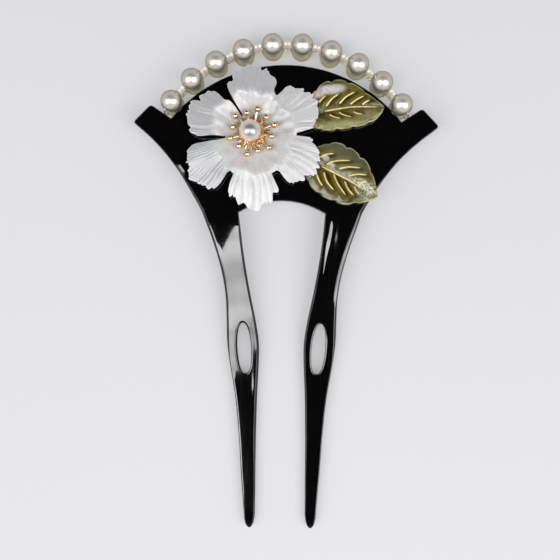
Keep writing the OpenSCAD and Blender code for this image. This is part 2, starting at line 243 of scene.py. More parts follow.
class Shell:
    """Points and faces of a piece while it is shaped, in millimetres."""

    def __init__(self):
        self.points = []
        self.faces = []
        self.marks = {}
        self.count = 0

    def add_points(self, points, **marks):
        points = np.asarray(points, float).reshape(-1, 3)
        first = self.count
        self.points.append(points)
        self.count += len(points)
        for name, values in marks.items():
            self.marks.setdefault(name, []).append(np.asarray(values, float).ravel())
        return first

    def grid(self, rows, closed=False, looped=False, capped=False, **marks):
        """Quads over rows of points. closed joins a row's last point to its first, looped the last row to the first,
        and capped closes the first and the last row by a face each."""
        rows = np.asarray(rows, float)
        r, c = rows.shape[:2]
        first = self.add_points(rows, **marks)
        for i in range(r if looped else r - 1):
            a, b = first + i * c, first + (i + 1) % r * c
            for k in range(c if closed else c - 1):
                n = (k + 1) % c
                self.faces.append((a + k, a + n, b + n, b + k))
        if capped:
            self.faces.append(tuple(range(first, first + c)))
            self.faces.append(tuple(range(self.count - c, self.count)))

    def face(self, points):
        first = self.add_points(points)
        self.faces.append(tuple(range(first, self.count)))

    def tube(self, path, radius, sides, flat=1.0):
        """A closed tube along a path, with its radius at each point, flat being its height as a share of its width."""
        radius = np.broadcast_to(radius, len(path))[:, None, None]
        along = np.gradient(path, axis=0)
        along /= np.linalg.norm(along, axis=1)[:, None]
        side = np.cross(along, (0, 0, 1))
        side /= np.linalg.norm(side, axis=1)[:, None]
        top = np.cross(side, along)
        a = np.linspace(0, 2 * math.pi, sides, endpoint=False)[None, :, None]
        rings = path[:, None] + radius * (side[:, None] * np.cos(a) + flat * top[:, None] * np.sin(a))
        self.grid(rings, closed=True, capped=True)

    def lathe(self, profile, turns, centre, axis=(0, 0, 1), looped=False, capped=True):
        """A profile of (distance from the axis, height along it), turned about an axis through centre."""
        axis = np.array(axis, float)
        axis /= np.linalg.norm(axis)
        side = np.cross(axis, (0, 0, 1) if abs(axis[2]) < 0.9 else (1, 0, 0))
        side /= np.linalg.norm(side)
        a = np.linspace(0, 2 * math.pi, turns, endpoint=False)[:, None]
        spoke = side * np.cos(a) + np.cross(axis, side) * np.sin(a)
        rings = [np.array(centre) + r * spoke + h * axis for r, h in profile]
        self.grid(rings, closed=True, looped=looped, capped=capped)

    def mesh(self, name):
        """The points and faces as a mesh in the frame, in metres."""
        points = np.vstack(self.points)
        points[:, 1] += TIPS_AT
        mesh = bpy.data.meshes.new(name)
        mesh.from_pydata((points * MM).tolist(), [], self.faces)
        for mark, values in self.marks.items():
            mesh.attributes.new(mark, "FLOAT", "POINT").data.foreach_set("value", np.concatenate(values))
        return mesh

    def build(self, name, finish, slot, replaces=(), sharp=35, merge=0):
        """Makes the piece and lets it ride on the hairpin."""
        mesh = self.mesh(name)
        face_outwards(mesh, merge)
        mesh.shade_smooth()
        mesh.set_sharp_from_angle(angle=math.radians(sharp))
        mesh.materials.append(finish)
        piece = add_object(name, mesh)
        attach(piece, ROOT)
        if replaces:
            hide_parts(*replaces)
        return piece


def face_outwards(mesh, merge=0):
    """Turns the faces outwards, after joining points that lie nearer together than merge."""
    work = bmesh.new()
    work.from_mesh(mesh)
    if merge:
        bmesh.ops.remove_doubles(work, verts=work.verts, dist=merge * MM)
    bmesh.ops.recalc_face_normals(work, faces=work.faces)
    work.to_mesh(mesh)
    work.free()


def add_object(name, data):
    made = bpy.data.objects.new(name, data)
    bpy.context.scene.collection.objects.link(made)
    return made


# Finishes

class Finish:
    """A material made of nodes, with patterns that are measured in millimetres."""

    def __init__(self, name):
        self.material = bpy.data.materials.new(name)
        self.material.use_nodes = True
        self.tree = self.material.node_tree
        self.shader = self.tree.nodes["Principled BSDF"]
        place = self.node("ShaderNodeTexCoord")
        scale = self.node("ShaderNodeVectorMath", operation="SCALE")
        scale.inputs["Scale"].default_value = 1 / MM
        self.link(place.outputs["Object"], scale.inputs[0])
        self.place = scale.outputs[0]

    def node(self, kind, **settings):
        node = self.tree.nodes.new(kind)
        for name, value in settings.items():
            setattr(node, name, value)
        return node

    def link(self, a, b):
        self.tree.links.new(a, b)

    def feed(self, socket, value):
        """Links a source to a socket, or sets a number or a colour on it."""
        if isinstance(value, bpy.types.NodeSocket):
            self.link(value, socket)
        else:
            socket.default_value = value if isinstance(value, (int, float)) else (*value, 1)

    def noise(self, scale, detail, rough, distortion=0.0, stretch=None, place=None):
        """Clouds from 0 to 1. scale is how many of them lie along a millimetre."""
        node = self.node("ShaderNodeTexNoise")
        for name, value in zip(("Scale", "Detail", "Roughness", "Distortion"), (scale, detail, rough, distortion)):
            node.inputs[name].default_value = value
        place = self.place if place is None else place
        if stretch:
            mapping = self.node("ShaderNodeMapping")
            mapping.inputs["Scale"].default_value = stretch
            self.link(place, mapping.inputs["Vector"])
            place = mapping.outputs[0]
        self.link(place, node.inputs["Vector"])
        return node.outputs["Fac"]

    def mark(self, name, strength=None):
        """A number that the mesh carries at each point, times a strength that is a source or a number."""
        share = self.node("ShaderNodeAttribute", attribute_name=name).outputs["Fac"]
        return share if strength is None else self.sum("MULTIPLY", share, strength)

    def ramp(self, source, *stops):
        """Colours or greys at places from 0 to 1 along a source."""
        node = self.node("ShaderNodeValToRGB")
        while len(node.color_ramp.elements) < len(stops):
            node.color_ramp.elements.new(1)
        for element, (at, colour) in zip(node.color_ramp.elements, stops):
            element.position = at
            element.color = (colour, colour, colour, 1) if isinstance(colour, (int, float)) else (*colour, 1)
        self.link(source, node.inputs["Fac"])
        return node.outputs["Color"]

    def blend(self, share, a, b):
        """Mixes two colours by a share. Each of the three may be a source or fixed."""
        node = self.node("ShaderNodeMix", data_type="RGBA")
        sockets = {socket.identifier: socket for socket in node.inputs}
        for name, value in (("Factor_Float", share), ("A_Color", a), ("B_Color", b)):
            self.feed(sockets[name], value)
        return next(o for o in node.outputs if o.identifier == "Result_Color")

    def layered(self, colour, *layers):
        """Lays colours over the first one, each where its mark is and in its own strength."""
        for mark, strength, over in layers:
            colour = self.blend(self.mark(mark, strength), colour, over)
        return colour

    def sum(self, kind, a, b):
        node = self.node("ShaderNodeMath", operation=kind)
        self.feed(node.inputs[0], a)
        self.feed(node.inputs[1], b)
        return node.outputs[0]

    def bump(self, height, strength, distance, normal=None):
        node = self.node("ShaderNodeBump")
        node.inputs["Strength"].default_value = strength
        node.inputs["Distance"].default_value = distance * MM
        self.link(height, node.inputs["Height"])
        if normal is not None:
            self.link(normal, node.inputs["Normal"])
        return node.outputs["Normal"]

    def made(self, colour, roughness, normal=None, **values):
        """Links the shader's sources, sets its other values and gives the material."""
        for name, source in (("Base Color", colour), ("Roughness", roughness), ("Normal", normal)):
            if source is not None:
                self.link(source, self.shader.inputs[name])
        for name, value in values.items():
            self.shader.inputs[name.replace("_", " ")].default_value = value
        return self.material


def black_sheet(props):
    """Polished black plastic sheet, with the faint waves and hairlines that buffing leaves."""
    f = Finish("polished_black_sheet")
    waves = f.noise(0.12, 2, 0.4)
    fine = f.noise(1.6, 3, 0.6)
    hairs = f.noise(2.2, 2, 0.5, stretch=(1, 0.05, 1))
    smears = f.noise(0.13, 1, 0.4, 0.2, stretch=(0.55, 1, 1))
    greyer = tuple(c * 1.7 + 0.0004 for c in props.colour)
    f.link(f.ramp(smears, (0.36, 0.45), (0.6, 1.0)), f.shader.inputs["Coat Weight"])
    return f.made(f.ramp(fine, (0.35, props.colour), (0.75, greyer)),
                  f.ramp(hairs, (0.45, props.roughness), (0.7, props.roughness * 1.7)),
                  f.bump(hairs, 0.02, 0.02, f.bump(waves, 0.12, 0.25)),
                  IOR=1.5, Coat_Roughness=0.03, Coat_IOR=1.65)


def pearl_finish(name, props, tint, shade, rim=((0.12, 0.0), (0.4, 0.35), (0.8, 1.0))):
    """Nacre over a bead: silvery body, faint clouds and skin marks, and towards its rim a painted reflection of the
    room.
    """
    f = Finish(name)
    clouds = f.noise(0.35, 3, 0.5)
    skin = f.noise(1.3, 1, 0.4)
    facing = f.node("ShaderNodeLayerWeight")
    facing.inputs["Blend"].default_value = 0.5
    greener = tuple(t * k for t, k in zip(tint, (0.98, 1.0, 0.94)))
    body = f.ramp(clouds, (0.3, tint), (0.7, greener))
    # The rim colour is painted. On the pearls in the rows it is painted shade, standing for the dark room that the rim
    # reflects. On the middle pearl it is a pale painted reflection of the floor and petals.
    return f.made(f.blend(f.ramp(facing.outputs["Facing"], *rim), body, shade),
                  f.ramp(skin, (0.3, props.roughness), (0.8, props.roughness * 1.3)), f.bump(skin, 0.04, 0.04),
                  Metallic=0.75, IOR=1.6, Coat_Weight=0.45, Coat_Roughness=0.1, Coat_IOR=1.5)


def seed_finish():
    """Small translucent beads between the pearls."""
    f = Finish("seed_bead_glass")
    clouds = f.noise(0.9, 2, 0.5)
    return f.made(f.ramp(clouds, (0.3, (0.80, 0.73, 0.57)), (0.7, (0.90, 0.85, 0.74))),
                  f.ramp(clouds, (0.3, 0.1), (0.7, 0.18)), IOR=1.5, Subsurface_Weight=0.4,
                  Subsurface_Radius=(0.4, 0.35, 0.25), Subsurface_Scale=MM, Coat_Weight=0.6, Coat_Roughness=0.04)


def wire_finish():
    """Drawn wire with fine marks on it."""
    f = Finish("bright_wire")
    lines = f.noise(3.0, 3, 0.6)
    return f.made(f.ramp(lines, (0.3, (0.62, 0.60, 0.52)), (0.7, (0.80, 0.78, 0.70))),
                  f.ramp(lines, (0.3, 0.22), (0.7, 0.34)), Metallic=1.0)


def shell_finish(props):
    """Mother-of-pearl: pink and green clouds in the bowl, silky streaks along the petals, grey where thin and as
    painted shade on some petals and in the grooves, painted light on others, and a painted highlight along the rims."""
    f = Finish("mother_of_pearl")
    clouds = f.noise(0.28, 3, 0.55, 0.6)
    grain = f.noise(1.3, 4, 0.6, 0.8)
    polar = f.node("ShaderNodeCombineXYZ")
    f.link(f.mark("fan", 0.45), polar.inputs[0])
    f.link(f.mark("reach", 0.3), polar.inputs[1])
    silk = f.noise(1.0, 5, 0.65, 0.5, place=polar.outputs[0])
    bowl = f.ramp(clouds, (0.3, props.pink_tint), (0.5, props.colour), (0.7, props.green_tint))
    bowl = f.blend(f.ramp(silk, (0.5, 0.0), (0.68, 0.2)), bowl, props.streak_and_highlight_colour)
    bowl = f.blend(f.ramp(grain, (0.46, 0.0), (0.6, 0.4)), bowl, props.streak_and_highlight_colour)
    streaks = f.ramp(silk, (0.38, props.thin_and_shade_colour), (0.47, props.colour), (0.57, props.streak_and_highlight_colour))
    # Painted light: the outer parts of the petals turned towards the light are painted whiter
    painted_light_colour = f.blend(f.ramp(silk, (0.34, 0.6), (0.46, 0.0)), props.streak_and_highlight_colour, props.colour)
    # Over the bowl: silky streaks, painted light on the petals turned towards the light, grey where the shell is thin
    # and as painted shade, painted shade in the grooves, and a painted highlight along the rims
    colour = f.layered(bowl, ("outer", 0.6, streaks), ("painted_light", 0.9, painted_light_colour), ("veil_and_shade", 0.85, props.thin_and_shade_colour),
                       ("groove", None, props.thin_and_shade_colour), ("rim", 0.7, props.streak_and_highlight_colour))
    folds = f.sum("MULTIPLY", silk, f.sum("ADD", f.mark("outer", 0.95), 0.05))
    return f.made(colour, f.ramp(grain, (0.3, 0.22), (0.7, 0.4)), f.bump(folds, 0.4, 0.15, f.bump(grain, 0.1, 0.06)),
                  IOR=1.53, Subsurface_Weight=0.2, Subsurface_Radius=(0.6, 0.57, 0.55), Subsurface_Scale=MM,
                  Coat_Weight=0.5, Coat_Roughness=0.12)


def gilt_finish(name, colour, deep, roughness, metal):
    """Gilt metal, redder where the plating is thin."""
    f = Finish(name)
    clouds = f.noise(0.8, 3, 0.6)
    fine = f.noise(5.0, 3, 0.6)
    return f.made(f.ramp(clouds, (0.35, deep), (0.6, colour)), f.ramp(fine, (0.3, roughness), (0.7, roughness * 1.6)),
                  f.bump(fine, 0.05, 0.02), Metallic=metal)


def leaf_glass(props, name):
    """Moulded olive glass, deep in the middle, with milky places that are partly painted reflection, painted glints at
    the crinkled tip, painted light along the rim, and painted shade and glow beside the veins.
    """
    f = Finish(name)
    clouds = f.noise(0.3, 3, 0.5, 0.8)
    swirl = f.noise(0.8, 3, 0.5, 2.0, stretch=(1, 0.5, 1))
    broken = f.noise(0.9, 2, 0.5, 1.2)
    # Painted glints over the crinkled tip, broken up by noise
    glints = f.ramp(broken, (0.40, props.brown_colour), (0.45, props.vein_colour), (0.5, props.colour),
                   (0.56, props.milky_glare_colour))
    breaks = f.ramp(f.noise(0.45, 2, 0.5, 1.0), (0.36, 0.25), (0.56, 1.0))
    colour = f.layered(
        f.ramp(clouds, (0.38, props.deep_colour), (0.62, props.colour)),
        ("pale", f.ramp(swirl, (0.3, 0.55), (0.6, 1.0)), props.pale_colour), ("grey", None, props.grey_colour),
        ("brown", None, props.brown_colour), ("vein_glow", 0.5, props.vein_glow_colour), ("shade", 0.75, props.brown_colour),
        ("milky_glare", f.ramp(swirl, (0.3, 0.5), (0.5, 1.0)), props.milky_glare_colour), ("crinkle_glints", None, glints),
        ("rim_light", breaks, props.rim_light_colour))
    return f.made(colour, f.ramp(swirl, (0.3, 0.16), (0.7, 0.26)),
                  f.bump(f.sum("MULTIPLY", broken, f.mark("crinkle_glints")), 0.5, 0.5, f.bump(swirl, 0.12, 0.12)),
                  IOR=1.52, Transmission_Weight=0.15, Coat_Weight=0.3, Coat_Roughness=0.06)


# Body

def stock_t(y):
    """Thickness of the sheet before its tips are thinned."""
    return mix(TIP_T, HEAD_T, ease(y / BEND_TOP))


def nose(y):
    """How far the rounding of the tips has opened, from 0 at the tips to 1 along the prongs."""
    u = np.clip((y - TIP_Y) / (NOSE_L - TIP_Y), 0, 1)
    return np.sqrt(1 - (1 - u) ** 2)


def body_t(y):
    return stock_t(y) * mix(NOSE_THIN, 1, nose(y))


def body_low(y):
    """Height of the back over the table."""
    return HEAD_Z * ease((y - BEND_LOW) / (BEND_TOP - BEND_LOW)) + (stock_t(y) - body_t(y)) / 2


def lean(y):
    """How far the body's middle is shifted sideways."""
    return np.where(y > FLARE[-1][0], 0, curve(LEAN, y, 1))


def prong_edge(y, column):
    """Distance of a prong's inner edge, column 1, or outer edge, column 2, from the middle."""
    side = 1 if column == 2 else -1
    half = (EDGE[0][2] - EDGE[0][1]) / 2
    return np.where(y < NOSE_L, PRONG_X + side * half * nose(y), curve(EDGE, y, column))


# Dents that bending and buffing left in the prongs. Columns: x, y, half width, half length, depth
DENTS = ((15.75, 84, 1.35, 3.6, 0.09), (-9.9, 40.6, 0.6, 1.9, 0.028), (-8.75, 40.8, 0.4, 2.8, 0.02))
# Slope that bending left along the inner side of the right prong. Columns: height over the tips, distance from the
# inner edge, share of the slope's width
BENT_SLOPE = (
    (71, 1.7, 0), (74, 1.5, 0.12), (77, 1.2, 0.28), (79.4, 0.95, 0.5), (81.7, 0.7, 0.82), (84, 0.75, 1),
    (86.4, 1, 0.87), (89, 2, 0), (91, 2.3, 0),
)


def side_dip(x, y, props):
    """How far the face of a prong falls away: inside near the head on the right one, outside along the left one."""
    across = np.abs(x - lean(y))
    near = np.clip(y, BENT_SLOPE[0][0], BENT_SLOPE[-1][0])
    slope = props.dip_width * np.maximum(curve(BENT_SLOPE, near, 2), 0)
    inside = slope * ease((curve(BENT_SLOPE, near, 1) + slope - across + prong_edge(y, 1)) / np.maximum(slope, 0.01))
    wedge = WEDGE_W * ease((84.5 - y) / 6) * mix(0.25, 1, ease((y - 46) / 8)) * ease(y / 12)
    outside = np.clip(wedge - prong_edge(y, 2) + across, 0, WEDGE_W)
    fall = np.where(x > lean(y), props.dip * inside, 0.71 * props.dip * outside)
    for at_x, at_y, wide, tall, depth in DENTS:
        fall = fall + depth * np.exp(-((x - at_x) / wide) ** 2 / 2 - ((y - at_y) / tall) ** 2 / 2)
    return fall


def hand_twist(x, y, props):
    """Small twists that bending by hand left in the left prong: its inner side up by the head, down near the tip."""
    shoulder = np.clip(x + 17.5, 0, 5.5) ** 2 / 2 * ease((y - 64) / 12) * ease((92 - y) / 6)
    low = (x - lean(y) + 9.3) * ease((46 - y) / 8) * ease(y / 10)
    return np.where(x < 0, props.twist * (shoulder - 1.5 * low), 0)


def face_z(x, y, props):
    return body_low(y) + body_t(y) - side_dip(x, y, props) + hand_twist(x, y, props)


def level_at(x, y, top, props):
    """Height of the face, or of the back where top isn't set."""
    return face_z(x, y, props) if top else body_low(y)


def rounded(before, corner, after, steps=10):
    """A small curve in place of a corner of the outline."""
    before, corner, after = (np.array(p, float) for p in (before, corner, after))
    a = corner + (before - corner) / np.linalg.norm(before - corner) * CORNER_CUT
    b = corner + (after - corner) / np.linalg.norm(after - corner) * CORNER_CUT
    t = np.linspace(0, 1, steps)[:, None]
    return mix(mix(a, corner, t), mix(corner, b, t), t)


def body_outline(prong_rows=190, ear_rows=64, arc_rows=84, crotch_rows=44):
    """Points of the outline, anticlockwise from the right prong's tip, and the heights of a prong's rows."""
    nose_turn = np.radians(np.arange(6, 88, 6))
    ys = np.concatenate([TIP_Y + (NOSE_L - TIP_Y) * (1 - np.cos(nose_turn)), np.linspace(NOSE_L, JOIN_Y, prong_rows)])
    outer = np.column_stack([prong_edge(ys, 2), ys])
    inner = np.column_stack([prong_edge(ys, 1), ys])
    ear_y = np.linspace(JOIN_Y, EAR_OUT[1], ear_rows)[1:-1]
    ear = np.column_stack([curve(FLARE, ear_y, 1), ear_y])
    ear = ear[np.linalg.norm(ear - EAR_OUT, axis=1) > CORNER_CUT + 0.3]
    notch_turn = math.asin(NOTCH_X / TOP_ARC_R)
    turn = np.linspace(notch_turn, 0, arc_rows)
    arc = np.column_stack([TOP_ARC_R * np.sin(turn), TOP_ARC_Y + TOP_ARC_R * np.cos(turn)])
    corner = (EAR_OUT[0] - HAIR, EAR_OUT[1])
    right = np.vstack([ear, rounded(ear[-1], corner, EAR_TOP), rounded(corner, EAR_TOP, arc[0]), arc])
    left = right[:-1][::-1] * (-1, 1)
    crotch_turn = math.asin(inner[-1][0] / CROTCH_R)
    turn = np.linspace(-crotch_turn, crotch_turn, crotch_rows)[1:-1]
    crotch = np.column_stack([CROTCH_R * np.sin(turn), JOIN_Y + CROTCH_R * (np.cos(turn) - math.cos(crotch_turn))])
    line = np.vstack([outer, right, left, outer[::-1] * (-1, 1), inner * (-1, 1), crotch, inner[::-1]])
    line[:, 0] += lean(line[:, 1])
    return line, ys, len(right) + len(left), len(crotch)


def drawn_in(line, by):
    """The outline moved inwards, each point by its own distance."""
    before = line - np.roll(line, 1, axis=0)
    after = np.roll(line, -1, axis=0) - line
    normals = []
    for step in (before, after):
        step = step / np.linalg.norm(step, axis=1)[:, None]
        normals.append(np.column_stack([step[:, 1], -step[:, 0]]))
    both = normals[0] + normals[1]
    return line - by[:, None] * both / (1 + (normals[0] * normals[1]).sum(axis=1))[:, None]


# Rounded back edge. Columns: share of the rounding inwards, share of its height
BACK_EDGE = ((1.4, 0), (1, 0), (0.62, 0.08), (0.29, 0.29), (0.08, 0.62), (0, 1), (0, 1.4))
# Bevelled front edge. Columns: share of the bevel's width inwards, share of its depth outside along the prongs, and
# the same round the head and along the inner edges, where it is cut steeper, and the same where it is buffed flat
FRONT_EDGE = (
    (0, 1.15, 1.3, 1.05), (0, 0.95, 1.1, 0.85), (0.035, 0.76, 0.98, 0.65), (0.1, 0.58, 0.87, 0.46),
    (0.19, 0.44, 0.76, 0.33), (0.3, 0.35, 0.65, 0.24), (0.6, 0.2, 0.36, 0.13), (0.9, 0.045, 0.07, 0.03),
    (1, 0, 0, 0), (1.03, 0, 0, 0),
)


def shape_body(props):
    line, ys, head_n, crotch_n = body_outline()
    y = line[:, 1]
    prong_n = len(ys)
    width = prong_edge(np.minimum(y, JOIN_Y), 2) - prong_edge(np.minimum(y, JOIN_Y), 1)
    narrow = np.where(y > JOIN_Y, 1e3, BEVEL_SHARE * width)
    # The bevel is wide along the outer edges of the upper prongs and narrow elsewhere, and steep along the inner edges
    wide = mix(NARROW_BEVEL, 1, ease((y - 46) / 10) * ease((104 - y) / 12))
    inside = np.arange(len(line)) >= 2 * prong_n + head_n
    within = mix(np.where(line[:, 0] < 0, 0.95, 0.6), NARROW_BEVEL, ease((y - 84) / 5))
    within = within * mix(0.6, 1, ease((y - 14) / 12))
    # Buffing left it flatter and wider up the right prong's outer edge, and in one short place on the left of the head
    buffed_right = ease((y - BUFFED_RIGHT[0]) / 4) * ease((BUFFED_RIGHT[1] - y) / 6)
    buffed_right = np.where((line[:, 0] > 0) & ~inside, buffed_right, 0)
    buffed_left = np.where((line[:, 0] < 0) & ~inside, ease(1.8 - np.abs(y - BUFFED_LEFT) / 1.1), 0)
    buffed = buffed_right + buffed_left
    bevel = props.front_bevel * np.where(inside, within, wide * (1 + 0.4 * buffed_right) + 1.6 * buffed_left)
    steep = np.where(inside, 1, ease((y - 80) / 12))
    bevel = np.minimum(bevel, narrow)
    shell = Shell()
    rings = []
    for share, depth in BACK_EDGE:
        ring = drawn_in(line, share * np.minimum(props.back_bevel, narrow))
        rings.append(np.column_stack([ring, body_low(y) + depth * props.back_bevel * nose(y)]))
    for share, on_prong, on_head, on_buffed in FRONT_EDGE:
        ring = drawn_in(line, mix(share, share ** 0.6, buffed_left) * bevel)
        depth = mix(mix(on_prong, on_head, steep), on_buffed * (1 - 0.23 * buffed_left), buffed)
        level = np.minimum(y, ring[:, 1])
        top = body_low(y) + body_t(y) - side_dip(ring[:, 0], level, props) + hand_twist(ring[:, 0], level, props)
        rings.append(np.column_stack([ring, top - depth * bevel * nose(y)]))
    shell.grid(rings, closed=True)

    outer_right = np.arange(prong_n)
    outer_left = prong_n + head_n + np.arange(prong_n)[::-1]
    inner_left = 2 * prong_n + head_n + np.arange(prong_n)
    inner_right = len(line) - 1 - np.arange(prong_n)
    slot_rows = [int(np.searchsorted(ys, SLOT_AT[1] + s * (SLOT_L / 2 + SLOT_FRAME))) for s in (-1, 1)]
    columns = np.linspace(0, 1, PRONG_COLUMNS)[None, :, None]
    spokes = {}
    for ring, top in ((rings[0], False), (rings[-1], True)):
        joins = []
        for side, outer, inner in ((1, outer_right, inner_right), (-1, outer_left, inner_left)):
            rows = mix(ring[outer][:, None], ring[inner][:, None], columns)
            middle = rows[:, 1:-1]
            middle[..., 2] = level_at(middle[..., 0], middle[..., 1], top, props)
            # The tip's first row has no points between its ends, so one face closes it
            shell.face(np.vstack([rows[0, :1], rows[1], rows[0, -1:]]))
            shell.grid(rows[1:slot_rows[0] + 1])
            shell.grid(rows[slot_rows[1]:])
            joins.append(rows[-1])
            cut = rows[slot_rows[0]:slot_rows[1] + 1]
            frame_line = np.vstack([cut[0][:-1], cut[:-1, -1], cut[-1][:0:-1], cut[:0:-1, 0]])
            # Both halves of a slot's wall are cut into the same steps, so that they meet
            spokes.setdefault(side, slot_turns(frame_line, side))
            slot_patch(shell, frame_line, spokes[side], side, top, props)
        head = ring[prong_n:prong_n + head_n]
        crotch = ring[3 * prong_n + head_n:3 * prong_n + head_n + crotch_n]
        shell.face(np.vstack([head, joins[1], crotch, joins[0][::-1]]))
    return shell


# Rim of a slot. Columns: distance outwards from the slot's wall, depth under the face, and the same on the left of the
# left slot, where it is cut wider and steeper
SLOT_RIM = (
    (0, 0.5, 0, 0.7), (0, 0.36, 0, 0.56), (0.03, 0.22, 0.1, 0.46), (0.09, 0.1, 0.3, 0.26), (0.2, 0.025, 0.5, 0.07),
    (0.34, 0, 0.62, 0),
)


def slot_line(turn, side, out):
    """Points round a prong's slot, some way out from its wall."""
    blunt = np.where(np.sin(turn) < 0, 0.75, 0.95)
    x = (SLOT_W / 2 + out) * np.sign(np.cos(turn)) * np.abs(np.cos(turn)) ** blunt
    y = (SLOT_L / 2 + out) * np.sin(turn)
    line = turned(np.column_stack([x, y]), -side * SLOT_LEAN)
    return line + (side * SLOT_AT[0] + float(lean(np.array(SLOT_AT[1]))), SLOT_AT[1])


def slot_turns(frame_line, side):
    """Places round a slot's wall that the points of the line round it lead to."""
    centre = slot_line(np.array([0.0, math.pi]), side, 0).mean(axis=0)
    spoke = turned(frame_line[:, :2] - centre, side * SLOT_LEAN)
    return np.arctan2(spoke[:, 1] / SLOT_L, spoke[:, 0] / SLOT_W)


def slot_patch(shell, frame_line, turn, side, top, props):
    """Face of a prong round its slot, the slot's rim, and half of its wall."""
    rings = []
    steep = np.clip(-np.cos(turn) - 0.1, 0, 1) if side < 0 else 0
    for out, depth, steep_out, steep_depth in SLOT_RIM:
        ring = slot_line(turn, side, mix(out, steep_out, steep))
        depth = mix(depth, steep_depth, steep)
        level = level_at(ring[:, 0], ring[:, 1], top, props) + (-depth if top else depth)
        rings.append(np.column_stack([ring, level]))
    low, high = (level_at(rings[0][:, 0], rings[0][:, 1], upper, props) for upper in (False, True))
    rings.insert(0, np.column_stack([rings[0][:, :2], (low + high) / 2]))
    rim = rings[-1]
    for share in (0.12, 0.3, 0.52, 0.76):
        ring = mix(rim, frame_line, share)
        ring[:, 2] = level_at(ring[:, 0], ring[:, 1], top, props)
        rings.append(ring)
    rings.append(frame_line)
    shell.grid(rings, closed=True)


def bore_wire_holes(body):
    """Blind holes for the ends of the pearl wires, in the inner walls of the ears."""
    cutters = []
    for side in (-1, 1):
        for level in (-1, 1):
            way = math.radians(side * (90 - EAR_ANGLE - DEG_PER_MM * WIRE_HOLE_L / 2))
            cut = Shell()
            cut.lathe(((WIRE_HOLE_D / 2, -1), (WIRE_HOLE_D / 2, WIRE_HOLE_L)), WIRE_HOLE_SIDES,
                      Vector(arch_point(side * EAR_ANGLE, MIDDLE_Z + level * WIRE_HOLE_Z)),
                      Vector((math.sin(way), -math.cos(way), 0)))
            mesh = cut.mesh("wire_hole_cutter")
            face_outwards(mesh)
            cutters.append(add_object("wire_hole_cutter", mesh))
            hole = body.modifiers.new("wire_hole", "BOOLEAN")
            hole.object = cutters[-1]
            hole.solver = "EXACT"
    bpy.context.view_layer.update()
    seen = body.evaluated_get(bpy.context.evaluated_depsgraph_get())
    mesh = bpy.data.meshes.new_from_object(seen)
    body.modifiers.clear()
    body.data = mesh
    for cutter in cutters:
        bpy.data.objects.remove(cutter)
    mesh.set_sharp_from_angle(angle=math.radians(35))


# Pearls

def arch_point(degrees, z):
    """A place on the arch of the pearls, at an angle from its top and a height."""
    a = math.radians(degrees)
    return (ARCH_R * math.sin(a), ARCH_Y + ARCH_R * math.cos(a), z)


def along_arch(degrees):
    """Direction of the wire at that angle."""
    a = math.radians(degrees)
    return (math.cos(a), -math.sin(a), 0)


def round_skin(radius, first, last, rows):
    """Profile of a ball between two angles from its lower end."""
    return [(radius * math.sin(a), -radius * math.cos(a)) for a in np.linspace(first, last, rows)]


def pearl_profile(radius, bore, chamfer=0.12, rows=26):
    """A drilled pearl: its skin from one mouth of the bore to the other, and back through the bore."""
    first = math.asin((bore + chamfer) / radius)
    mouth = radius * math.cos(first) - chamfer
    return [(bore, -mouth)] + round_skin(radius, first, math.pi - first, rows) + [(bore, mouth)]


def seed_profile(radius=0.68, half=0.56, bore=0.25):
    """A barrel-shaped seed bead, and back through its bore."""
    turn = np.linspace(math.radians(20), math.radians(160), 11)
    skin = [(mix(bore, radius, math.sin(a)), -half * math.cos(a) / math.cos(turn[0])) for a in turn]
    return [(bore, -half * 0.9)] + skin + [(bore, half * 0.9)]


def thread(shell, profile, sides, turn, z):
    """Puts a drilled bead on the wire, at an angle on the arch and a height."""
    shell.lathe(profile, sides, arch_point(turn, z), along_arch(turn), looped=True, capped=False)


def wire_path(z, down):
    """Middle line of a row's wire, which steps over to its hole in the ear at each end."""
    bend_r, bend = 0.35, math.radians(80)
    drop = ROW_HIGH - MIDDLE_Z - WIRE_HOLE_Z
    run = 2 * bend_r * math.sin(bend) + (drop - 2 * bend_r * (1 - math.cos(bend))) / math.tan(bend)
    leaves = 54 + DEG_PER_MM * PEARL_R
    # Columns: angle on the arch, drop
    half = [(a, 0) for a in np.linspace(0, leaves, 40)]
    turns = np.linspace(0, bend, 9)
    half += [(leaves + DEG_PER_MM * bend_r * math.sin(a), bend_r * (1 - math.cos(a))) for a in turns[1:]]
    half += [(leaves + DEG_PER_MM * (run - bend_r * math.sin(a)), drop - bend_r * (1 - math.cos(a)))
             for a in turns[::-1]]
    half.append((leaves + DEG_PER_MM * (run + WIRE_HOLE_L - 0.6), drop))
    route = [(-a, d) for a, d in half[:0:-1]] + half
    return np.array([arch_point(a, z - down * d) for a, d in route])


# Flower

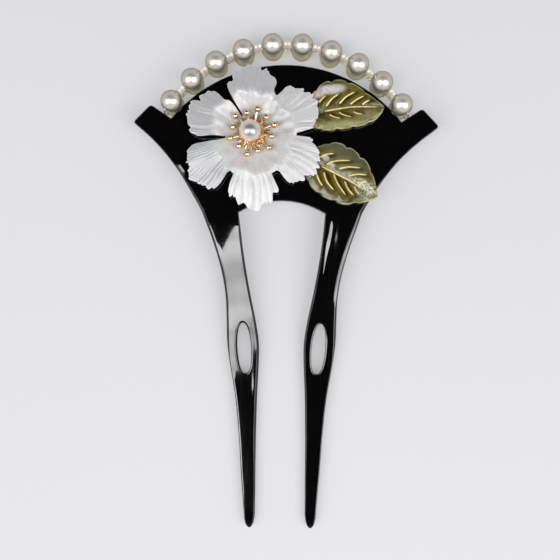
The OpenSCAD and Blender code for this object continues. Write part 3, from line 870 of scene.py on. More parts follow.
# Rims of the petals, anticlockwise from the right. Columns: angle in degrees, distance from the middle
PETAL_RIMS = (
    ((0, 12.2), (2.5, 14.2), (5, 16.5), (9, 17.8), (15.5, 18.7), (25.5, 19.8), (31, 20), (36.5, 19.2), (38.5, 18.2),
     (43, 18.4), (48, 16.8), (52, 16.5), (54.5, 15.6), (55.2, 14), (57, 12.1)),
    ((60, 12.3), (64, 13.2), (65, 15.1), (69, 16.1), (74.5, 16.5), (78.5, 17.6), (82, 17.5), (86, 18.2), (94.5, 18.3),
     (102, 17.5), (110, 16.7), (111.5, 15.4), (117.8, 15.2), (120, 13.9), (121, 11.2), (120.8, 8.8), (118, 5.5)),
    ((125.5, 5.6), (124.6, 7.4), (125.2, 9.2), (127.5, 10.8), (132, 11.9), (132.3, 14), (134.5, 15.8), (141, 17),
     (147, 17.4), (149.8, 16.7), (151, 17.9), (155, 18.9), (162, 19), (169, 18.3), (175, 17.5), (180.5, 17),
     (184.2, 15.1), (185, 11.2), (188.5, 7.3)),
    ((192, 7.8), (193.5, 12), (192.2, 16.1), (195, 18.1), (200.5, 18.9), (204.5, 19.9), (209, 19.5), (210, 20.6),
     (214, 21.1), (219, 21.3), (225, 20.2), (231, 19.9), (237, 18.5), (238.6, 16.3), (237.5, 14.2), (240.6, 12.3)),
    ((246.5, 12.6), (246.8, 15.1), (248.1, 17.3), (250.5, 18.5), (255.5, 19.1), (261, 20.6), (264, 19.6), (268.4, 21.2),
     (272, 21.8), (277, 21.4), (279.4, 20), (284, 20.4), (288, 19.3), (289.5, 18), (293.5, 17.9), (295.5, 17),
     (295.3, 15.1), (295.5, 12.6)),
    ((303.5, 12.5), (305.7, 13.6), (305.8, 15.8), (307.5, 17.5), (314, 18.6), (318, 19.4), (321.5, 18.8), (323.5, 20.1),
     (328.5, 21.1), (335, 20.6), (341, 19.9), (346.5, 18.7), (351, 17.4), (355.3, 16.4), (356.2, 14.3), (355.6, 12.2)),
)
# Relief of the petals in that order. Columns: depth of the ribs, degrees to a rib, how thin and how grey with painted
# shade the outer part is, how far the outer part turns down, how much painted light whitens the outer part, how much
# further out it starts, how much painted shade darkens its rise, how far its teeth reach past the rim, as a share
PETAL_RELIEF = (
    (0.13, 8.2, 0.35, 0.2, 0.4, 0, 0.5, 0.015), (0.05, 9.5, 0.87, 0.35, 0, 0, 0, 0.04),
    (0.07, 8.6, 1, 0.5, 0, 0, 0, 0.028), (0.055, 9, 1, 0, 0.1, 1.5, 0, 0.026),
    (0.2, 7.6, 0, 0, 0.8, 2.6, 0, 0.015), (0.16, 7.4, 0.1, 0, 0.5, 1.6, 0, 0.012),
)
RIB_DEPTH, RIB_PITCH, THIN_AND_SHADE, DOWN, PAINTED_LIGHT, LATER, RISE_SHADE, TEETH = range(8)
# Section of a petal. Columns: distance from the middle, height over the foot, thickness
PETAL_SECTION = (
    (0, 1.9, 1.2), (4.5, 1.92, 1.2), (6.5, 2.1, 1.2), (8.5, 2.75, 1.2), (10.2, 3.6, 1.15), (11.1, 3.9, 1.1),
    (12, 3.85, 1.05), (13.3, 3.65, 1.0), (15.5, 3.4, 0.85), (18.5, 2.95, 0.7), (22.5, 2.3, 0.55),
)


def relief(petal, column):
    """A column of the relief for each point, by the number of its petal."""
    return np.array(PETAL_RELIEF)[petal, column]


def petal_ribs(turn, petal, r):
    """Ribs along a petal, from 0 in a groove to 1 on a rib, uneven as hand carving leaves them."""
    pitch = relief(petal, RIB_PITCH)
    bent = turn + 1.6 * np.sin(turn * 0.19 + petal * 2.3) + 1.1 * np.sin(r * 0.45 + petal * 1.7 + turn * 0.08)
    wave = 0.5 + 0.5 * np.cos(np.radians(bent / pitch * 360))
    return mix(wave, 1, 0.5 * (0.5 + 0.5 * np.sin(turn * 0.37 + petal * 1.1)))


def fine_folds(turn, petal, r):
    """Fine folds along a petal, from -1 to 1."""
    bent = turn + 0.9 * np.sin(turn * 0.33 + petal) + 0.7 * np.sin(r * 0.7 + turn * 0.13 + petal * 2.1)
    swell = 0.5 + 0.5 * np.sin(turn * 0.23 + r * 0.4 + petal * 1.9)
    return swell * np.sin(np.radians(bent / 2.9 * 360))


def rim_teeth(turn, petal):
    """Small teeth round the rim, from 0 on a tooth to 1 between two."""
    bent = turn + 0.9 * np.sin(turn * 0.41 + petal) + 0.5 * np.sin(turn * 1.1 + petal * 2.3)
    return (1 - np.abs(np.sin(np.radians(bent / 3.9 * 180)))) * (0.6 + 0.4 * np.sin(turn * 0.23 + petal * 1.4))


def crest_shift(turn, petal):
    """How far the crest of the bowl wanders outwards from its usual place."""
    return 0.55 * np.sin(turn * 0.11 + petal * 2.1) + 0.3 * np.sin(turn * 0.29 + petal)


def ragged(turn, petal):
    """How far the line where the shell gets thin wanders from the crest."""
    return crest_shift(turn, petal) + 0.3 * np.sin(turn * 0.8 + petal) + 0.16 * np.sin(turn * 1.9)


def side_fall(across, r):
    """How far a petal falls away towards its sides."""
    return 0.45 * np.abs(across) ** 4 * ease((r - 8) / 5)


def petal_height(r, turn, petal, across):
    """Height of a petal's face over the foot, and how deep in a groove it lies, where the finish paints shade."""
    rib = petal_ribs(turn, petal, r)
    from_crest = r - crest_shift(turn, petal) * ease((r - 7) / 3) * ease((17 - r) / 4)
    grown = ease((from_crest - 10.8) / 2.2)
    level = curve(PETAL_SECTION, from_crest, 1) - relief(petal, DOWN) * ease((from_crest - 11.2) / 5)
    level = level - side_fall(across, r)
    level = level + 0.18 * np.sin(across * 3.6 + petal * 1.3) * ease((r - 9) / 6)
    level = level + 0.035 * fine_folds(turn, petal, r) * grown * ease((r - 7) / 3)
    depth = relief(petal, RIB_DEPTH)
    return level - grown * depth * (1 - rib), 0.7 * (1 - rib) ** 2 * grown * depth / 0.25


def flower_columns(per_petal=158):
    """Rim points, anticlockwise. Columns: x, y, the petal's number, place across it from -1 to 1, and base angle"""
    rows = []
    gaps = []
    for p, rim in enumerate(PETAL_RIMS):
        last = PETAL_RIMS[p - 1][-1][0] - (360 if p == 0 else 0)
        gaps.append((last + rim[0][0]) / 2)
    gaps.append(gaps[0] + 360)
    for p, rim in enumerate(PETAL_RIMS):
        knots = np.array([(r * math.cos(math.radians(a)), r * math.sin(math.radians(a))) for a, r in rim])
        line = through(knots, 14)
        run = np.concatenate([[0], np.cumsum(np.linalg.norm(np.diff(line, axis=0), axis=1))])
        share = run / run[-1]
        even = np.linspace(0, 1, per_petal)
        x, y = np.interp(even, share, line[:, 0]), np.interp(even, share, line[:, 1])
        turn = np.degrees(np.unwrap(np.arctan2(y, x)))
        turn += 360 * round((np.mean([a for a, _ in rim]) - turn.mean()) / 360)
        across = np.clip(2 * (turn - gaps[p]) / (gaps[p + 1] - gaps[p]) - 1, -1, 1)
        base = mix(gaps[p], gaps[p + 1], 0.5 * (1 - np.cos(math.pi * mix(even, 0.5, 0.12))) * 0.5 + even * 0.5)
        rows.append(np.column_stack([x, y, np.full(per_petal, p), across, base]))
    return np.vstack(rows), np.array(gaps)


def shape_flower():
    """The carved flower: rows of points from under its foot out to the rim and back over the face."""
    columns, gaps = flower_columns()

    def onwards(turn):
        return np.where(turn < gaps[0], turn + 360, turn)

    rim = columns[:, :2]
    rim_r = np.linalg.norm(rim, axis=1)
    rim_turn = onwards(np.degrees(np.arctan2(rim[:, 1], rim[:, 0])) % 360)
    petal = columns[:, 2].astype(int)
    cut = 0.03 * (1 - petal_ribs(rim_turn, petal, rim_r)) + 0.042 * rim_teeth(rim_turn, petal)
    cut = (cut - relief(petal, TEETH)) * ease((rim_r - 14) / 3)
    rim = rim * (1 - cut)[:, None]
    base_turn = np.radians(columns[:, 4])
    spoke = np.column_stack([np.cos(base_turn), np.sin(base_turn)])

    def ring(share, circle, top, sink=0.0, thick=0.0):
        """A row of points between a circle round the middle and the rim, how thin it is there with painted shade added,
        and how grooved.
        """
        at = mix(circle * spoke, rim, share)
        r = np.linalg.norm(at, axis=1)
        turn = onwards(np.degrees(np.arctan2(at[:, 1], at[:, 0])))
        across = np.clip(2 * (turn - gaps[petal]) / (gaps[petal + 1] - gaps[petal]) - 1, -1, 1)
        level, groove = petal_height(r, turn, petal, across)
        if not top:
            level = curve(PETAL_SECTION, r, 1) - relief(petal, DOWN) * ease((r - 11.5) / 6) - side_fall(across, r)
        level = level - sink - thick * curve(PETAL_SECTION, r, 2)
        # Greyer where the shell is thin over the dark head, and as painted shade on the petals turned from the light;
        # one petal's rise is darkened as painted shade too
        thin = relief(petal, THIN_AND_SHADE) * ease((r - ragged(turn, petal) - 10.6) / 2)
        thin = thin + relief(petal, RISE_SHADE) * ease((r - 6.5) / 2) * ease((12.5 - r) / 2)
        return np.column_stack([at, level]), thin, groove

    rings = []
    marks = {}

    def lay(made, edge=0.0):
        points, thin, groove = made
        rings.append(points)
        reach = np.linalg.norm(points[:, :2], axis=1)
        fan = np.degrees(np.unwrap(np.arctan2(points[:, 1], points[:, 0])))
        later = relief(petal, LATER)
        outer = ease((reach - ragged(onwards(fan), petal) - 10.9 - later) / (1.3 + later))
        # The outer parts of the petals turned towards the light get a mark for painted light
        for name, values in (("veil_and_shade", thin), ("groove", groove), ("rim", np.full(len(thin), edge)), ("fan", fan),
                             ("reach", reach), ("outer", outer), ("painted_light", outer * relief(petal, PAINTED_LIGHT))):
            marks.setdefault(name, []).append(values)

    flat = np.zeros(len(rim))
    lay((np.column_stack([FOOT_R * spoke, flat]), flat, flat))
    for share in (0, 0.12, 0.25, 0.38, 0.5, 0.62, 0.73, 0.83, 0.91, 0.965):
        lay(ring(share, FOOT_R, False, thick=1))
    # The rows along the petals' edges carry the rim mark, a painted highlight along the edges
    lay(ring(0.992, FOOT_R, False, thick=0.92), 0.5)
    lay(ring(1, HUB_R, True, thick=0.62), 1)
    lay(ring(1, HUB_R, True, thick=0.3), 1)
    lay(ring(0.994, HUB_R, True, sink=0.035), 1)
    lay(ring(0.984, HUB_R, True), 0.7)
    for share in np.concatenate([np.linspace(0.97, 0.42, 34), np.linspace(0.39, 0.03, 10)]):
        lay(ring(share, HUB_R, True))
    lay((np.column_stack([HUB_R * spoke, flat + PETAL_SECTION[0][1]]), flat, flat))
    shell = Shell()
    shell.grid(np.array(rings) + (*FLOWER_AT, SEAT_Z), closed=True, capped=True, **marks)
    return shell


def shape_stamens():
    """The gilt cup, the peg for the pearl, and the filaments with their balls."""
    shell = Shell()
    x, y = FLOWER_AT
    turn = np.linspace(0, 2 * math.pi, CUP_SIDES, endpoint=False)
    rows = []
    for r, z, flute in CUP_RINGS:
        reach = r - flute * (1 - np.abs(np.cos(turn * FILAMENTS)))
        level = np.full(len(turn), STAMENS_Z + z)
        rows.append(np.column_stack([x + reach * np.cos(turn), y + reach * np.sin(turn), level]))
    shell.grid(rows, closed=True, capped=True)
    shell.lathe(((PEG_R, PEG_Z), (PEG_R, CUP_T + PEG_Z + PEG_L)), 20, (x - HEART_SHIFT, y, STAMENS_Z))

    def rod(a, out, up, steps, root, end, sides):
        """A tapered rod in the direction a, through points given by their distance from the middle and height."""
        out = np.array(out)
        points = np.column_stack([x + out * math.cos(a), y + out * math.sin(a), STAMENS_Z + np.array(up)])
        path = through(points, steps)
        shell.tube(path, np.linspace(root, end, len(path)), sides)

    ball = round_skin(BALL_R, 0.12, math.pi - 0.12, 18)
    tip = SEAT_Z + BALL_Z - STAMENS_Z
    for k in range(FILAMENTS):
        a = math.radians(BALL_TURN + 360 * k / FILAMENTS)
        reach = BALL_REACH[k % 2]
        rod(a, (1.7, 2.4, 3.2, 4.1, reach - 0.75, reach), (0.45, 0.75, 1.15, 1.5, tip - 0.12, tip), 5, *FILAMENT)
        shell.lathe(ball, BALL_SIDES, (x + reach * math.cos(a), y + reach * math.sin(a), STAMENS_Z + tip))
    # Rays of the cup between the filaments, long and short in turn
    for k in range(3 * FILAMENTS):
        if k % 3:
            a = math.radians(BALL_TURN + 360 * k / (3 * FILAMENTS))
            rod(a, (1.8, 2.8, 3.8, 5.0 if k % 2 else 4.4), (0.55, 0.8, 0.95, 0.85), 4, *RAY)
    return shell


# Leaves

class Leaf:
    """A moulded leaf: its table of widths, where it lies, and the relief of its face."""

    def __init__(self, table, at, veins, stains):
        self.table, self.veins, self.stains = table, veins, stains
        self.x, self.y, self.turn = at
        self.length = table[-1][0]

    def stain(self, kind, x, y):
        """How strong a stain of the glass is at a place, from 0 to 1."""
        strength = np.zeros(np.broadcast(x, y).shape)
        for name, along, across, long, wide, amount in self.stains:
            if name == kind:
                far = ((x - along) / long) ** 2 + ((y - across) / wide) ** 2
                strength = np.maximum(strength, amount * np.exp(-far ** (3 if kind == "milky_glare" else 1.5)))
        return strength

    def width(self, x, side):
        """Half width at a distance from the stem end, left of the midrib where side is over 0 and right elsewhere."""
        lobe = np.abs(np.sin(math.pi * LEAF_LOBES * x / self.length))
        wide = np.where(side > 0, curve(self.table, x, 1), curve(self.table, x, 2))
        return np.maximum(wide, 0.2) * (1 - LEAF_LOBE_CUT * (1 - lobe) ** 2)

    def low(self, x, e):
        """Height of the underside over the head."""
        return LEAF_RISE * (x / self.length) ** 2 + LEAF_CURL * e ** 2

    def thick(self, e):
        return LEAF_T * (1 + 0.35 * np.sin(math.pi * np.abs(e)) - 0.35 * np.abs(e) ** 3)

    def near_vein(self, x, y, spread):
        """How close a place is to a vein, from 0 to 1."""
        near = np.zeros_like(x)
        for vein in self.veins:
            line = np.array(vein)
            for a, b in zip(line, line[1:]):
                step = b - a
                t = np.clip(((x - a[0]) * step[0] + (y - a[1]) * step[1]) / (step @ step), 0, 1)
                far = np.hypot(x - a[0] - t * step[0], y - a[1] - t * step[1])
                near = np.maximum(near, np.exp(-(far / spread) ** 2))
        return near

    def beside_veins(self, x, y, side):
        """How close a place is to the line beside each vein on one side, 1 towards the tip or -1 towards the stem,
        where painted shade and a painted glow go.
        """
        return self.near_vein(x - 0.62 * side, y + 0.3 * side * np.sign(y), 0.5) * (1 - self.near_vein(x, y, 0.3))

    def face(self, x, e):
        """Height of the face at a place, e being the share of the half width."""
        y = e * self.width(x, e)
        edge = np.clip((1 - np.abs(e)) / 0.12, 0, 1)
        quilt = 0.055 * (1 - self.near_vein(x, y, 0.9)) * edge * ease(x / 3) * ease((self.length - x) / 3)
        bead = 0.13 * np.exp(-(((1 - np.abs(e)) * self.width(x, e) - 0.3) / 0.17) ** 2)
        return self.low(x, e) + self.thick(e) - 0.1 + quilt + bead

    def to_hairpin(self, points):
        """Points of the leaf where it lies on the hairpin."""
        return turned(points, self.turn) + (self.x, self.y, SEAT_Z)

    def shape(self):
        """The leaf as rows of points across it, over its face from one rim to the other and back under it."""
        xs = self.length * (1 - np.cos(np.linspace(0, math.pi, LEAF_ROWS))) / 2
        upper = np.concatenate([[1.0, 0.995, 0.975, 0.94], np.linspace(0.9, -0.9, 47), [-0.94, -0.975, -0.995, -1.0]])
        lower = np.linspace(-0.97, 0.97, 17)
        x = xs[:, None]
        e = np.broadcast_to(upper, (LEAF_ROWS, len(upper)))
        roll = np.clip((np.abs(e) - 0.9) / 0.1, 0, 1)
        top = self.face(x, e) - 0.28 * roll ** 3
        to_rim = (1 - np.abs(e)) * self.width(x, e)
        # Painted light along the thin rim, where the edge catches it, and at the tip
        rim_light = 1 - ease((to_rim - 0.25) / 0.25)
        rows_top = np.dstack([np.broadcast_to(x, e.shape), e * self.width(x, e), top])
        f = np.broadcast_to(lower, (LEAF_ROWS, len(lower)))
        rows_low = np.dstack([np.broadcast_to(x, f.shape), f * self.width(x, f), self.low(x, f)])
        rows = np.concatenate([rows_top, rows_low], axis=1)
        tip = ease((x - self.length + 1.4) / 1.2)
        marks = {"rim_light": np.concatenate([np.maximum(rim_light, 0.6 * tip), np.full(f.shape, 0.4)], axis=1)}
        for kind in ("pale", "grey", "brown", "milky_glare", "crinkle_glints"):
            marks[kind] = self.stain(kind, rows[..., 0], rows[..., 1])
        # Painted shade on one side of each vein and a painted warm glow of light on the other
        marks["shade"] = self.beside_veins(rows[..., 0], rows[..., 1], 1)
        marks["vein_glow"] = self.beside_veins(rows[..., 0], rows[..., 1], -1)
        shell = Shell()
        shell.grid(self.to_hairpin(rows), closed=True, capped=True, **marks)
        return shell

    def vein_shell(self):
        """The veins as low rods on the face."""
        shell = Shell()
        for k, vein in enumerate(self.veins):
            line = through(vein, 8)
            x, y = line[:, 0], line[:, 1]
            e = y / self.width(x, y)
            z = self.face(x, e) + 0.02
            share = np.linspace(0, 1, len(x))
            # The midrib, its side veins, and the thinner ones under the upper leaf's midrib
            wide = 0.23 if not k else 0.26 if y[-1] > 0 or self.veins is LOWER_VEINS else 0.18
            radius = wide * np.clip(np.minimum(share * 14 + 0.25, (1 - share) * 6 + 0.2), 0, 1) * mix(1, 0.72, share)
            shell.tube(self.to_hairpin(np.column_stack([x, y, z])), radius, VEIN_SIDES, flat=VEIN_FLAT)
        return shell


# Veins, a row of points for each, the midrib first. Columns: distance from the stem end, distance from the middle
UPPER_VEINS = (
    ((6.1, 0.8), (10.1, 1.05), (13.5, 1.15), (16.5, 0.9), (20.7, 0.35)),
    ((4.8, 3.3), (5.8, 4.3), (6.9, 5.0)),
    ((6.7, 2.1), (8.4, 3.9), (10.5, 5.1)),
    ((10.4, 2.35), (12.3, 4), (14.9, 5.1)),
    ((13.4, 1.9), (15.3, 3), (17.3, 3.7)),
    ((16.7, 1.4), (17.6, 2), (18.8, 2.4)),
    ((7.3, -0.25), (8.7, -1.1), (10.3, -1.7)),
    ((10, 0.1), (11.5, -0.9), (13.2, -1.55)),
    ((14, -0.2), (15.1, -0.8), (16.3, -1.2)),
)
LOWER_VEINS = (
    ((6, -0.1), (13.5, 0.2), (17.1, 0.15), (18.5, -0.1)),
    ((4.4, 1.8), (5.6, 3.4), (7.2, 4.6)),
    ((7, 1), (8.6, 3), (12.2, 5.2)),
    ((10.6, 1.65), (12.7, 3.4), (15.6, 4.7)),
    ((13.8, 1.2), (15.8, 2.8), (18.1, 3.9)),
    ((17.4, 0.9), (18.1, 1.7), (18.9, 2.2)),
    ((5.9, -2.7), (7.3, -3.9), (8.9, -4.8)),
    ((7.3, -1.25), (9.4, -3.1), (12.2, -4.3)),
    ((10, -0.4), (12.4, -2.2), (15.8, -3.9)),
    ((13.6, -0.6), (15.5, -2), (17.8, -2.9)),
    ((16.6, -0.5), (17.7, -1.3), (19, -1.9)),
)
# Stains in the glass, some of them painted reflections and painted glints. Columns: kind, distance from the stem end,
# distance from the middle, half length, half width, strength
UPPER_STAINS = (
    ("milky_glare", 8.4, 6.6, 4.4, 1.35, 1.0), ("milky_glare", 4.9, 5.6, 1.8, 0.9, 0.9), ("milky_glare", 3.3, 4.6, 1.3, 0.6, 0.5),
    ("pale", 9, -3.5, 9, 1.5, 0.95), ("pale", 18, -1.4, 3.2, 1.4, 0.7), ("pale", 3, 5.5, 2, 2.2, 0.5),
    ("pale", 20.8, 0.6, 1.4, 1.2, 0.5),
    ("brown", 4.6, 0.6, 2.6, 1.5, 0.9), ("brown", 9.5, 2.5, 2.2, 1.1, 0.6), ("brown", 13, 2.4, 2.4, 0.9, 0.6),
    ("brown", 17, 2.0, 2.2, 0.8, 0.7), ("brown", 9, -0.6, 4, 0.7, 0.5),
)
LOWER_STAINS = (
    ("milky_glare", 5.8, 2.5, 1.1, 0.8, 0.75), ("milky_glare", 8.2, 1.7, 1.0, 0.5, 0.6), ("milky_glare", 18.6, 1.6, 1.5, 0.8, 0.5),
    ("crinkle_glints", 17.4, 0.9, 2.4, 1.3, 0.9), ("crinkle_glints", 20.6, 0.2, 2.9, 2.5, 1.0), ("grey", 9, 5.8, 6.5, 2.6, 0.95),
    ("grey", 15.5, 4.6, 4, 1.9, 0.9), ("grey", 13, 2.3, 2.4, 0.9, 0.5), ("pale", 4, 5.5, 1.5, 1.2, 0.35),
    ("pale", 10, -6.2, 7, 0.7, 0.35), ("brown", 5.5, -1.5, 2.6, 1.3, 0.85), ("brown", 9.5, -1.9, 2.3, 1.2, 0.75),
    ("brown", 13.5, -1.7, 2.3, 1.0, 0.65), ("brown", 7.6, 3.2, 1.8, 0.5, 0.5), ("brown", 19.4, -1.6, 1.4, 0.8, 0.9),
)
UPPER_LEAF = Leaf(LEAF_UPPER, LEAF_UPPER_AT, UPPER_VEINS, UPPER_STAINS)
LOWER_LEAF = Leaf(LEAF_LOWER, LEAF_LOWER_AT, LOWER_VEINS, LOWER_STAINS)


# Settings that a user would change

def colour_setting(name, description, default):
    return FloatVectorProperty(name=name, description=description, subtype="COLOR", size=3, min=0, max=1,
                               default=default)


def number_setting(name, description, default, least, most, **kind):
    return FloatProperty(name=name, description=description, default=default, min=least, max=most, **kind)


class BodySettings(bpy.types.PropertyGroup):
    front_bevel: number_setting("Front bevel", "Width of the bevel along the front edges, in mm", 0.7, 0.3, 0.7)
    back_bevel: number_setting("Back rounding", "Radius along the back edges, in mm", 0.3, 0.1, 0.4)
    dip: number_setting("Side dip", "Slope of the prong's face along its inner edge, in mm per mm", 0.098, 0, 0.2)
    dip_width: number_setting("Side dip width", "Width of that slope at its widest, in mm", 2.7, 0.5, 3)
    twist: number_setting("Twist", "Twist of the left prong, in mm per mm", 0.01, 0, 0.03)
    colour: colour_setting("Sheet colour", "Colour of the plastic sheet", (0.0012, 0.0012, 0.0015))
    roughness: number_setting("Polish", "Roughness of the polished sheet", 0.05, 0.01, 0.4, subtype="FACTOR")


class PearlSettings(bpy.types.PropertyGroup):
    colour: colour_setting("Pearl colour", "Colour of the pearls in the rows", (0.84, 0.79, 0.73))
    # The darker colour round the pearls is painted shade, standing for the dark room that their rims reflect
    shade: colour_setting("Pearl rim", "Darker colour round the pearls", (0.20, 0.155, 0.09))
    # The back row is the same nacre as the front row; its yellower tint and olive rim are painted shade and painted
    # warm reflection
    back_shaded_tint: colour_setting("Back row", "Yellower colour of the pearls in the back row", (0.84, 0.78, 0.57))
    back_shade: colour_setting("Back row rim", "Darker colour round them", (0.40, 0.34, 0.15))
    # The middle pearl's colour is darkened as a painted reflection of the dark room overhead, and its pale rim is a
    # painted reflection of the floor and the petals
    heart_with_dark_reflection: colour_setting("Middle pearl", "Colour of the pearl in the flower", (0.50, 0.48, 0.53))
    heart_rim_reflection: colour_setting("Middle pearl rim", "Colour round that pearl", (0.98, 0.85, 0.80))
    roughness: number_setting("Lustre", "Roughness of the nacre", 0.29, 0.02, 0.6, subtype="FACTOR")


class FlowerSettings(bpy.types.PropertyGroup):
    colour: colour_setting("Shell colour", "Main colour of the shell", (0.62, 0.605, 0.61))
    pink_tint: colour_setting("Pink clouds", "Colour of the pink clouds", (0.64, 0.585, 0.60))
    green_tint: colour_setting("Green clouds", "Colour of the green clouds", (0.59, 0.62, 0.595))
    # This grey is also the painted shade in the grooves and on the petals turned from the light
    thin_and_shade_colour: colour_setting("Thin shell", "Colour where the dark head shows through", (0.41, 0.415, 0.43))
    # Also the colour of the painted highlights along the rims and of the painted light on some petals
    streak_and_highlight_colour: colour_setting("Silky streaks", "Colour of the bright streaks and the rims", (0.73, 0.725, 0.72))
    gilt: colour_setting("Gilt", "Colour of the stamens", (0.95, 0.76, 0.47))


class LeafSettings(bpy.types.PropertyGroup):
    colour: colour_setting("Glass colour", "Main colour of the glass", (0.16, 0.145, 0.022))
    deep_colour: colour_setting("Deep glass", "Colour of the deep glass", (0.05, 0.044, 0.009))
    pale_colour: colour_setting("Pale glass", "Colour where the glass is thin", (0.38, 0.37, 0.17))
    brown_colour: colour_setting("Brown glass", "Colour of the darkest glass by the stem", (0.035, 0.017, 0.004))
    # Painted warm light beside the veins
    vein_glow_colour: colour_setting("Amber glass", "Warm colour beside the veins", (0.30, 0.20, 0.03))
    # The milky places are partly milky glass and partly painted reflections
    milky_glare_colour: colour_setting("Milky glass", "Colour of the milky places", (0.72, 0.68, 0.66))
    grey_colour: colour_setting("Grey glass", "Colour of the greyish green places", (0.12, 0.125, 0.08))
    # Painted light along the rim
    rim_light_colour: colour_setting("Margin", "Colour along the rim", (0.60, 0.56, 0.30))
    vein_colour: colour_setting("Vein gilt", "Colour of the painted veins", (0.84, 0.75, 0.34))


class StageSettings(bpy.types.PropertyGroup):
    floor_colour: colour_setting("Floor", "Colour of the floor", (0.39, 0.39, 0.40))
    glow: number_setting("Floor glow", "Light that comes through the floor from under it", 0.85, 0, 2)
    left_power: number_setting("Left light", "Power of the left light, in watts", 1.95, 0, 200, unit="POWER")
    right_power: number_setting("Right light", "Power of the right light, in watts", 2.2, 0, 200, unit="POWER")
    spill_power: number_setting("Spill", "Power of the light's spill on each side, in watts", 1.0, 0, 50, unit="POWER")
    room: number_setting("Room light", "Brightness of the pale room round the lights", 0.3, 0, 2)
    overhead: number_setting("Overhead", "How bright the room is straight above, as a share of the rest", 0.02, 0, 1,
                             subtype="FACTOR")
    lens: number_setting("Lens", "Focal length of the camera, in mm", 52.8, 20, 200, unit="CAMERA")


# Operators

class KANZASHI_OT_body(bpy.types.Operator):
    """Cut, bevel and bend the black body"""
    bl_idname = "kanzashi.body"
    bl_label = "Body"

    def execute(self, context):
        props = context.scene.hairpin_body
        body = shape_body(props).build("body_sheet", black_sheet(props), "black_plastic", ("body",), merge=0.0005)
        bore_wire_holes(body)
        return {"FINISHED"}


class KANZASHI_OT_pearls(bpy.types.Operator):
    """Thread two rows of pearls, with seed beads between them, on their wires"""
    bl_idname = "kanzashi.pearls"
    bl_label = "Pearl rows"

    def execute(self, context):
        props = context.scene.hairpin_pearls
        seed = seed_finish()
        wire = wire_finish()
        # The back row gets a yellower tint and rim on the same nacre, as painted shade and painted warm reflection
        for row, z, down, tint, shade in (("front", ROW_HIGH, 1, props.colour, props.shade),
                                          ("back", ROW_LOW, -1, props.back_shaded_tint, props.back_shade)):
            nacre = pearl_finish(f"pearl_nacre_{row}", props, tint, shade)
            for i in range(1, PEARLS + 1):
                pearl = Shell()
                turn = (i - (PEARLS + 1) / 2) * PEARL_STEP
                thread(pearl, pearl_profile(PEARL_R - HAIR, BORE_R), PEARL_SIDES, turn, z)
                pearl.build(f"pearl_{row}_{i:02d}_nacre", nacre, "pearl", (f"pearl_{row}_{i:02d}",))
            beads = Shell()
            for gap in range(PEARLS - 1):
                middle = (gap - (PEARLS - 2) / 2) * PEARL_STEP
                for turn in (middle - SEED_STEP, middle + SEED_STEP):
                    thread(beads, seed_profile(), SEED_SIDES, turn, z)
            beads.build(f"seed_beads_{row}", seed, "pearl")
            strand = Shell()
            strand.tube(wire_path(z, down), WIRE_R, WIRE_SIDES)
            strand.build(f"wire_{row}", wire, "wire", (f"pearl_wire_{row}",))
        return {"FINISHED"}


class KANZASHI_OT_flower(bpy.types.Operator):
    """Carve the shell flower"""
    bl_idname = "kanzashi.flower"
    bl_label = "Flower"

    def execute(self, context):
        props = context.scene.hairpin_flower
        shape_flower().build("flower_carved", shell_finish(props), "shell", ("flower",), sharp=60)
        return {"FINISHED"}


class KANZASHI_OT_stamens(bpy.types.Operator):
    """Solder the gilt stamens and set the pearl in their middle"""
    bl_idname = "kanzashi.stamens"
    bl_label = "Stamens and pearl"

    def execute(self, context):
        flower, pearls = context.scene.hairpin_flower, context.scene.hairpin_pearls
        gilt = gilt_finish("gilt", flower.gilt, (0.60, 0.37, 0.20), 0.14, 1.0)
        shape_stamens().build("stamens_gilt", gilt, "gilt", ("stamens",))
        # The middle pearl's dark body and pale rim are painted reflections of the room
        nacre = pearl_finish("middle_pearl_nacre", pearls, pearls.heart_with_dark_reflection, pearls.heart_rim_reflection,
                             ((0.1, 0.0), (0.26, 0.75), (0.6, 1.0)))
        pearl = Shell()
        bore_end = -HEART_R + HEART_BORE_L
        skin = round_skin(HEART_R, math.asin(HEART_BORE_R / HEART_R), math.pi - 0.03, 40)
        centre = (FLOWER_AT[0] - HEART_SHIFT, FLOWER_AT[1], STAMENS_Z + CUP_T + GLUE_T + HEART_R)
        pearl.lathe([(0.02, bore_end), (HEART_BORE_R, bore_end)] + skin, HEART_SIDES, centre)
        pearl.build("flower_pearl_nacre", nacre, "pearl", ("flower_pearl",))
        return {"FINISHED"}


class KANZASHI_OT_leaves(bpy.types.Operator):
    """Mould the two glass leaves and lay their gilt veins"""
    bl_idname = "kanzashi.leaves"
    bl_label = "Leaves"

    def execute(self, context):
        props = context.scene.hairpin_leaves
        gilt = gilt_finish("vein_gilt", props.vein_colour, (0.66, 0.53, 0.17), 0.34, 0.45)
        for name, leaf in (("upper", UPPER_LEAF), ("lower", LOWER_LEAF)):
            glass = leaf_glass(props, f"leaf_glass_{name}")
            leaf.shape().build(f"leaf_{name}_glass", glass, "leaf_glass", (f"leaf_{name}",), sharp=50)
            leaf.vein_shell().build(f"leaf_{name}_veins", gilt, "gilt")
        return {"FINISHED"}


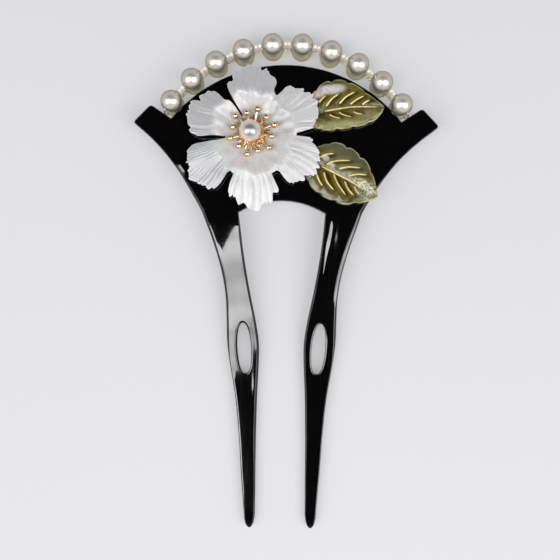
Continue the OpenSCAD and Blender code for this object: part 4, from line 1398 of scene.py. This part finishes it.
def lay_floor(props):
    """Pale paper that sweeps up far behind the hairpin on every side."""
    paper = Finish("pale_floor")
    cloud = paper.noise(0.004, 2, 0.5)
    tooth = paper.noise(1.5, 3, 0.6)
    darker = tuple(c * 0.97 for c in props.floor_colour)
    paper.made(paper.ramp(cloud, (0.3, darker), (0.7, props.floor_colour)),
               paper.ramp(tooth, (0.3, 0.75), (0.7, 0.85)), paper.bump(tooth, 0.05, 0.02),
               Emission_Color=(*props.floor_colour, 1), Emission_Strength=props.glow)
    sweep = Shell()
    sweep.lathe([(r, max(h, 0)) for r, h in through(SWEEP, 8)], 96, (0, -TIPS_AT, -0.02), capped=False)
    mesh = sweep.mesh("pale_sweep")
    mesh.shade_smooth()
    mesh.materials.append(paper.material)
    floor = add_object("pale_sweep", mesh)


def soft_box(name, at, wide, tall, power, turn=0, facing=None):
    """A soft light over the table, level and turned by some degrees, or facing a point. Places and sizes are in mm."""
    light = bpy.data.lights.new(name, "AREA")
    light.shape = "RECTANGLE"
    light.size = wide * MM
    light.size_y = tall * MM
    light.energy = power
    lamp = add_object(name, light)
    away = (Vector(at) - Vector(facing)).normalized() if facing else Vector((0, 0, 1))
    side = Vector((math.cos(math.radians(turn)), math.sin(math.radians(turn)), 0))
    side = (side - away * side.dot(away)).normalized()
    lamp.matrix_world = Matrix((side, away.cross(side), away)).transposed().to_4x4()
    lamp.location = Vector(at) * MM
    lamp.visible_camera = False


def hang_lights(props):
    """On each side a main light with a brighter core, and a fainter spill that reaches nearly over the camera."""
    for name, side, power in (("left", -1, props.left_power), ("right", 1, props.right_power)):
        soft_box("soft_box_" + name, (side * 450, -218, 560), 430, 460, power * (1 - CORE_SHARE), 0, (0, 0, 0))
        soft_box("core_" + name, (side * 441, -213.6, 548.8), 200, 200, power * CORE_SHARE, 0, (0, 0, 0))
    soft_box("spill_left", (-156.6, -120.7, 600), 206, 267, props.spill_power, 15)
    soft_box("spill_right", (190, -198, 600), 205, 466, props.spill_power * 0.95, -3.5)


def light_room(props):
    """Pale walls round the table, and a dark ceiling."""
    world = bpy.data.worlds.new("room")
    world.use_nodes = True
    tree = world.node_tree
    back = tree.nodes["Background"]
    back.inputs["Strength"].default_value = props.room
    way = tree.nodes.new("ShaderNodeTexCoord")
    parts = tree.nodes.new("ShaderNodeSeparateXYZ")
    walls = tree.nodes.new("ShaderNodeValToRGB")
    stops = ((0.55, (0.97, 0.98, 1)), (0.9, (props.overhead,) * 3))
    for element, (height, colour) in zip(walls.color_ramp.elements, stops):
        element.position = height
        element.color = (*colour, 1)
    tree.links.new(way.outputs["Generated"], parts.inputs[0])
    tree.links.new(parts.outputs["Z"], walls.inputs["Fac"])
    tree.links.new(walls.outputs["Color"], back.inputs["Color"])
    bpy.context.scene.world = world


def set_camera(props):
    """The camera straight above, turned a little."""
    lens = bpy.data.cameras.new("camera")
    lens.lens = props.lens
    lens.sensor_width = 36
    lens.sensor_fit = "HORIZONTAL"
    lens.clip_start = 0.01
    camera = add_object("camera", lens)
    cosine, sine = CAMERA_TURN
    right, up = Vector((cosine, sine, 0)), Vector((-sine, cosine, 0))
    camera.matrix_world = Matrix((right, up, right.cross(up))).transposed().to_4x4()
    camera.location = [c * MM for c in CAMERA_AT]
    bpy.context.scene.camera = camera


class KANZASHI_OT_stage(bpy.types.Operator):
    """Set up the pale floor, the soft lights and the camera straight above"""
    bl_idname = "kanzashi.stage"
    bl_label = "Stage"

    def execute(self, context):
        props = context.scene.hairpin_stage
        lay_floor(props)
        hang_lights(props)
        light_room(props)
        set_camera(props)
        context.scene.view_settings.view_transform = "Standard"
        context.scene.view_settings.look = "None"
        return {"FINISHED"}


class KANZASHI_PT_panel(bpy.types.Panel):
    """Lists the hairpin's settings and its pieces"""
    bl_idname = "KANZASHI_PT_panel"
    bl_label = "Kanzashi hairpin"
    bl_space_type = "VIEW_3D"
    bl_region_type = "UI"
    bl_category = "Hairpin"

    def draw(self, context):
        for name, settings, operators in PARTS:
            box = self.layout.box()
            for setting in settings.__annotations__:
                box.prop(getattr(context.scene, name), setting)
            for operator in operators:
                box.operator(operator.bl_idname)


PARTS = (
    ("hairpin_body", BodySettings, (KANZASHI_OT_body,)),
    ("hairpin_pearls", PearlSettings, (KANZASHI_OT_pearls,)),
    ("hairpin_flower", FlowerSettings, (KANZASHI_OT_flower, KANZASHI_OT_stamens)),
    ("hairpin_leaves", LeafSettings, (KANZASHI_OT_leaves,)),
    ("hairpin_stage", StageSettings, (KANZASHI_OT_stage,)),
)


def register():
    for name, settings, operators in PARTS:
        bpy.utils.register_class(settings)
        setattr(bpy.types.Scene, name, PointerProperty(type=settings))
        for operator in operators:
            bpy.utils.register_class(operator)
    bpy.utils.register_class(KANZASHI_PT_panel)


def unregister():
    bpy.utils.unregister_class(KANZASHI_PT_panel)
    for name, settings, operators in reversed(PARTS):
        for operator in operators:
            bpy.utils.unregister_class(operator)
        delattr(bpy.types.Scene, name)
        bpy.utils.unregister_class(settings)


def main():
    register()
    bpy.ops.kanzashi.body()
    bpy.ops.kanzashi.pearls()
    bpy.ops.kanzashi.flower()
    bpy.ops.kanzashi.stamens()
    bpy.ops.kanzashi.leaves()
    bpy.ops.kanzashi.stage()


if __name__ == "__main__":
    main()
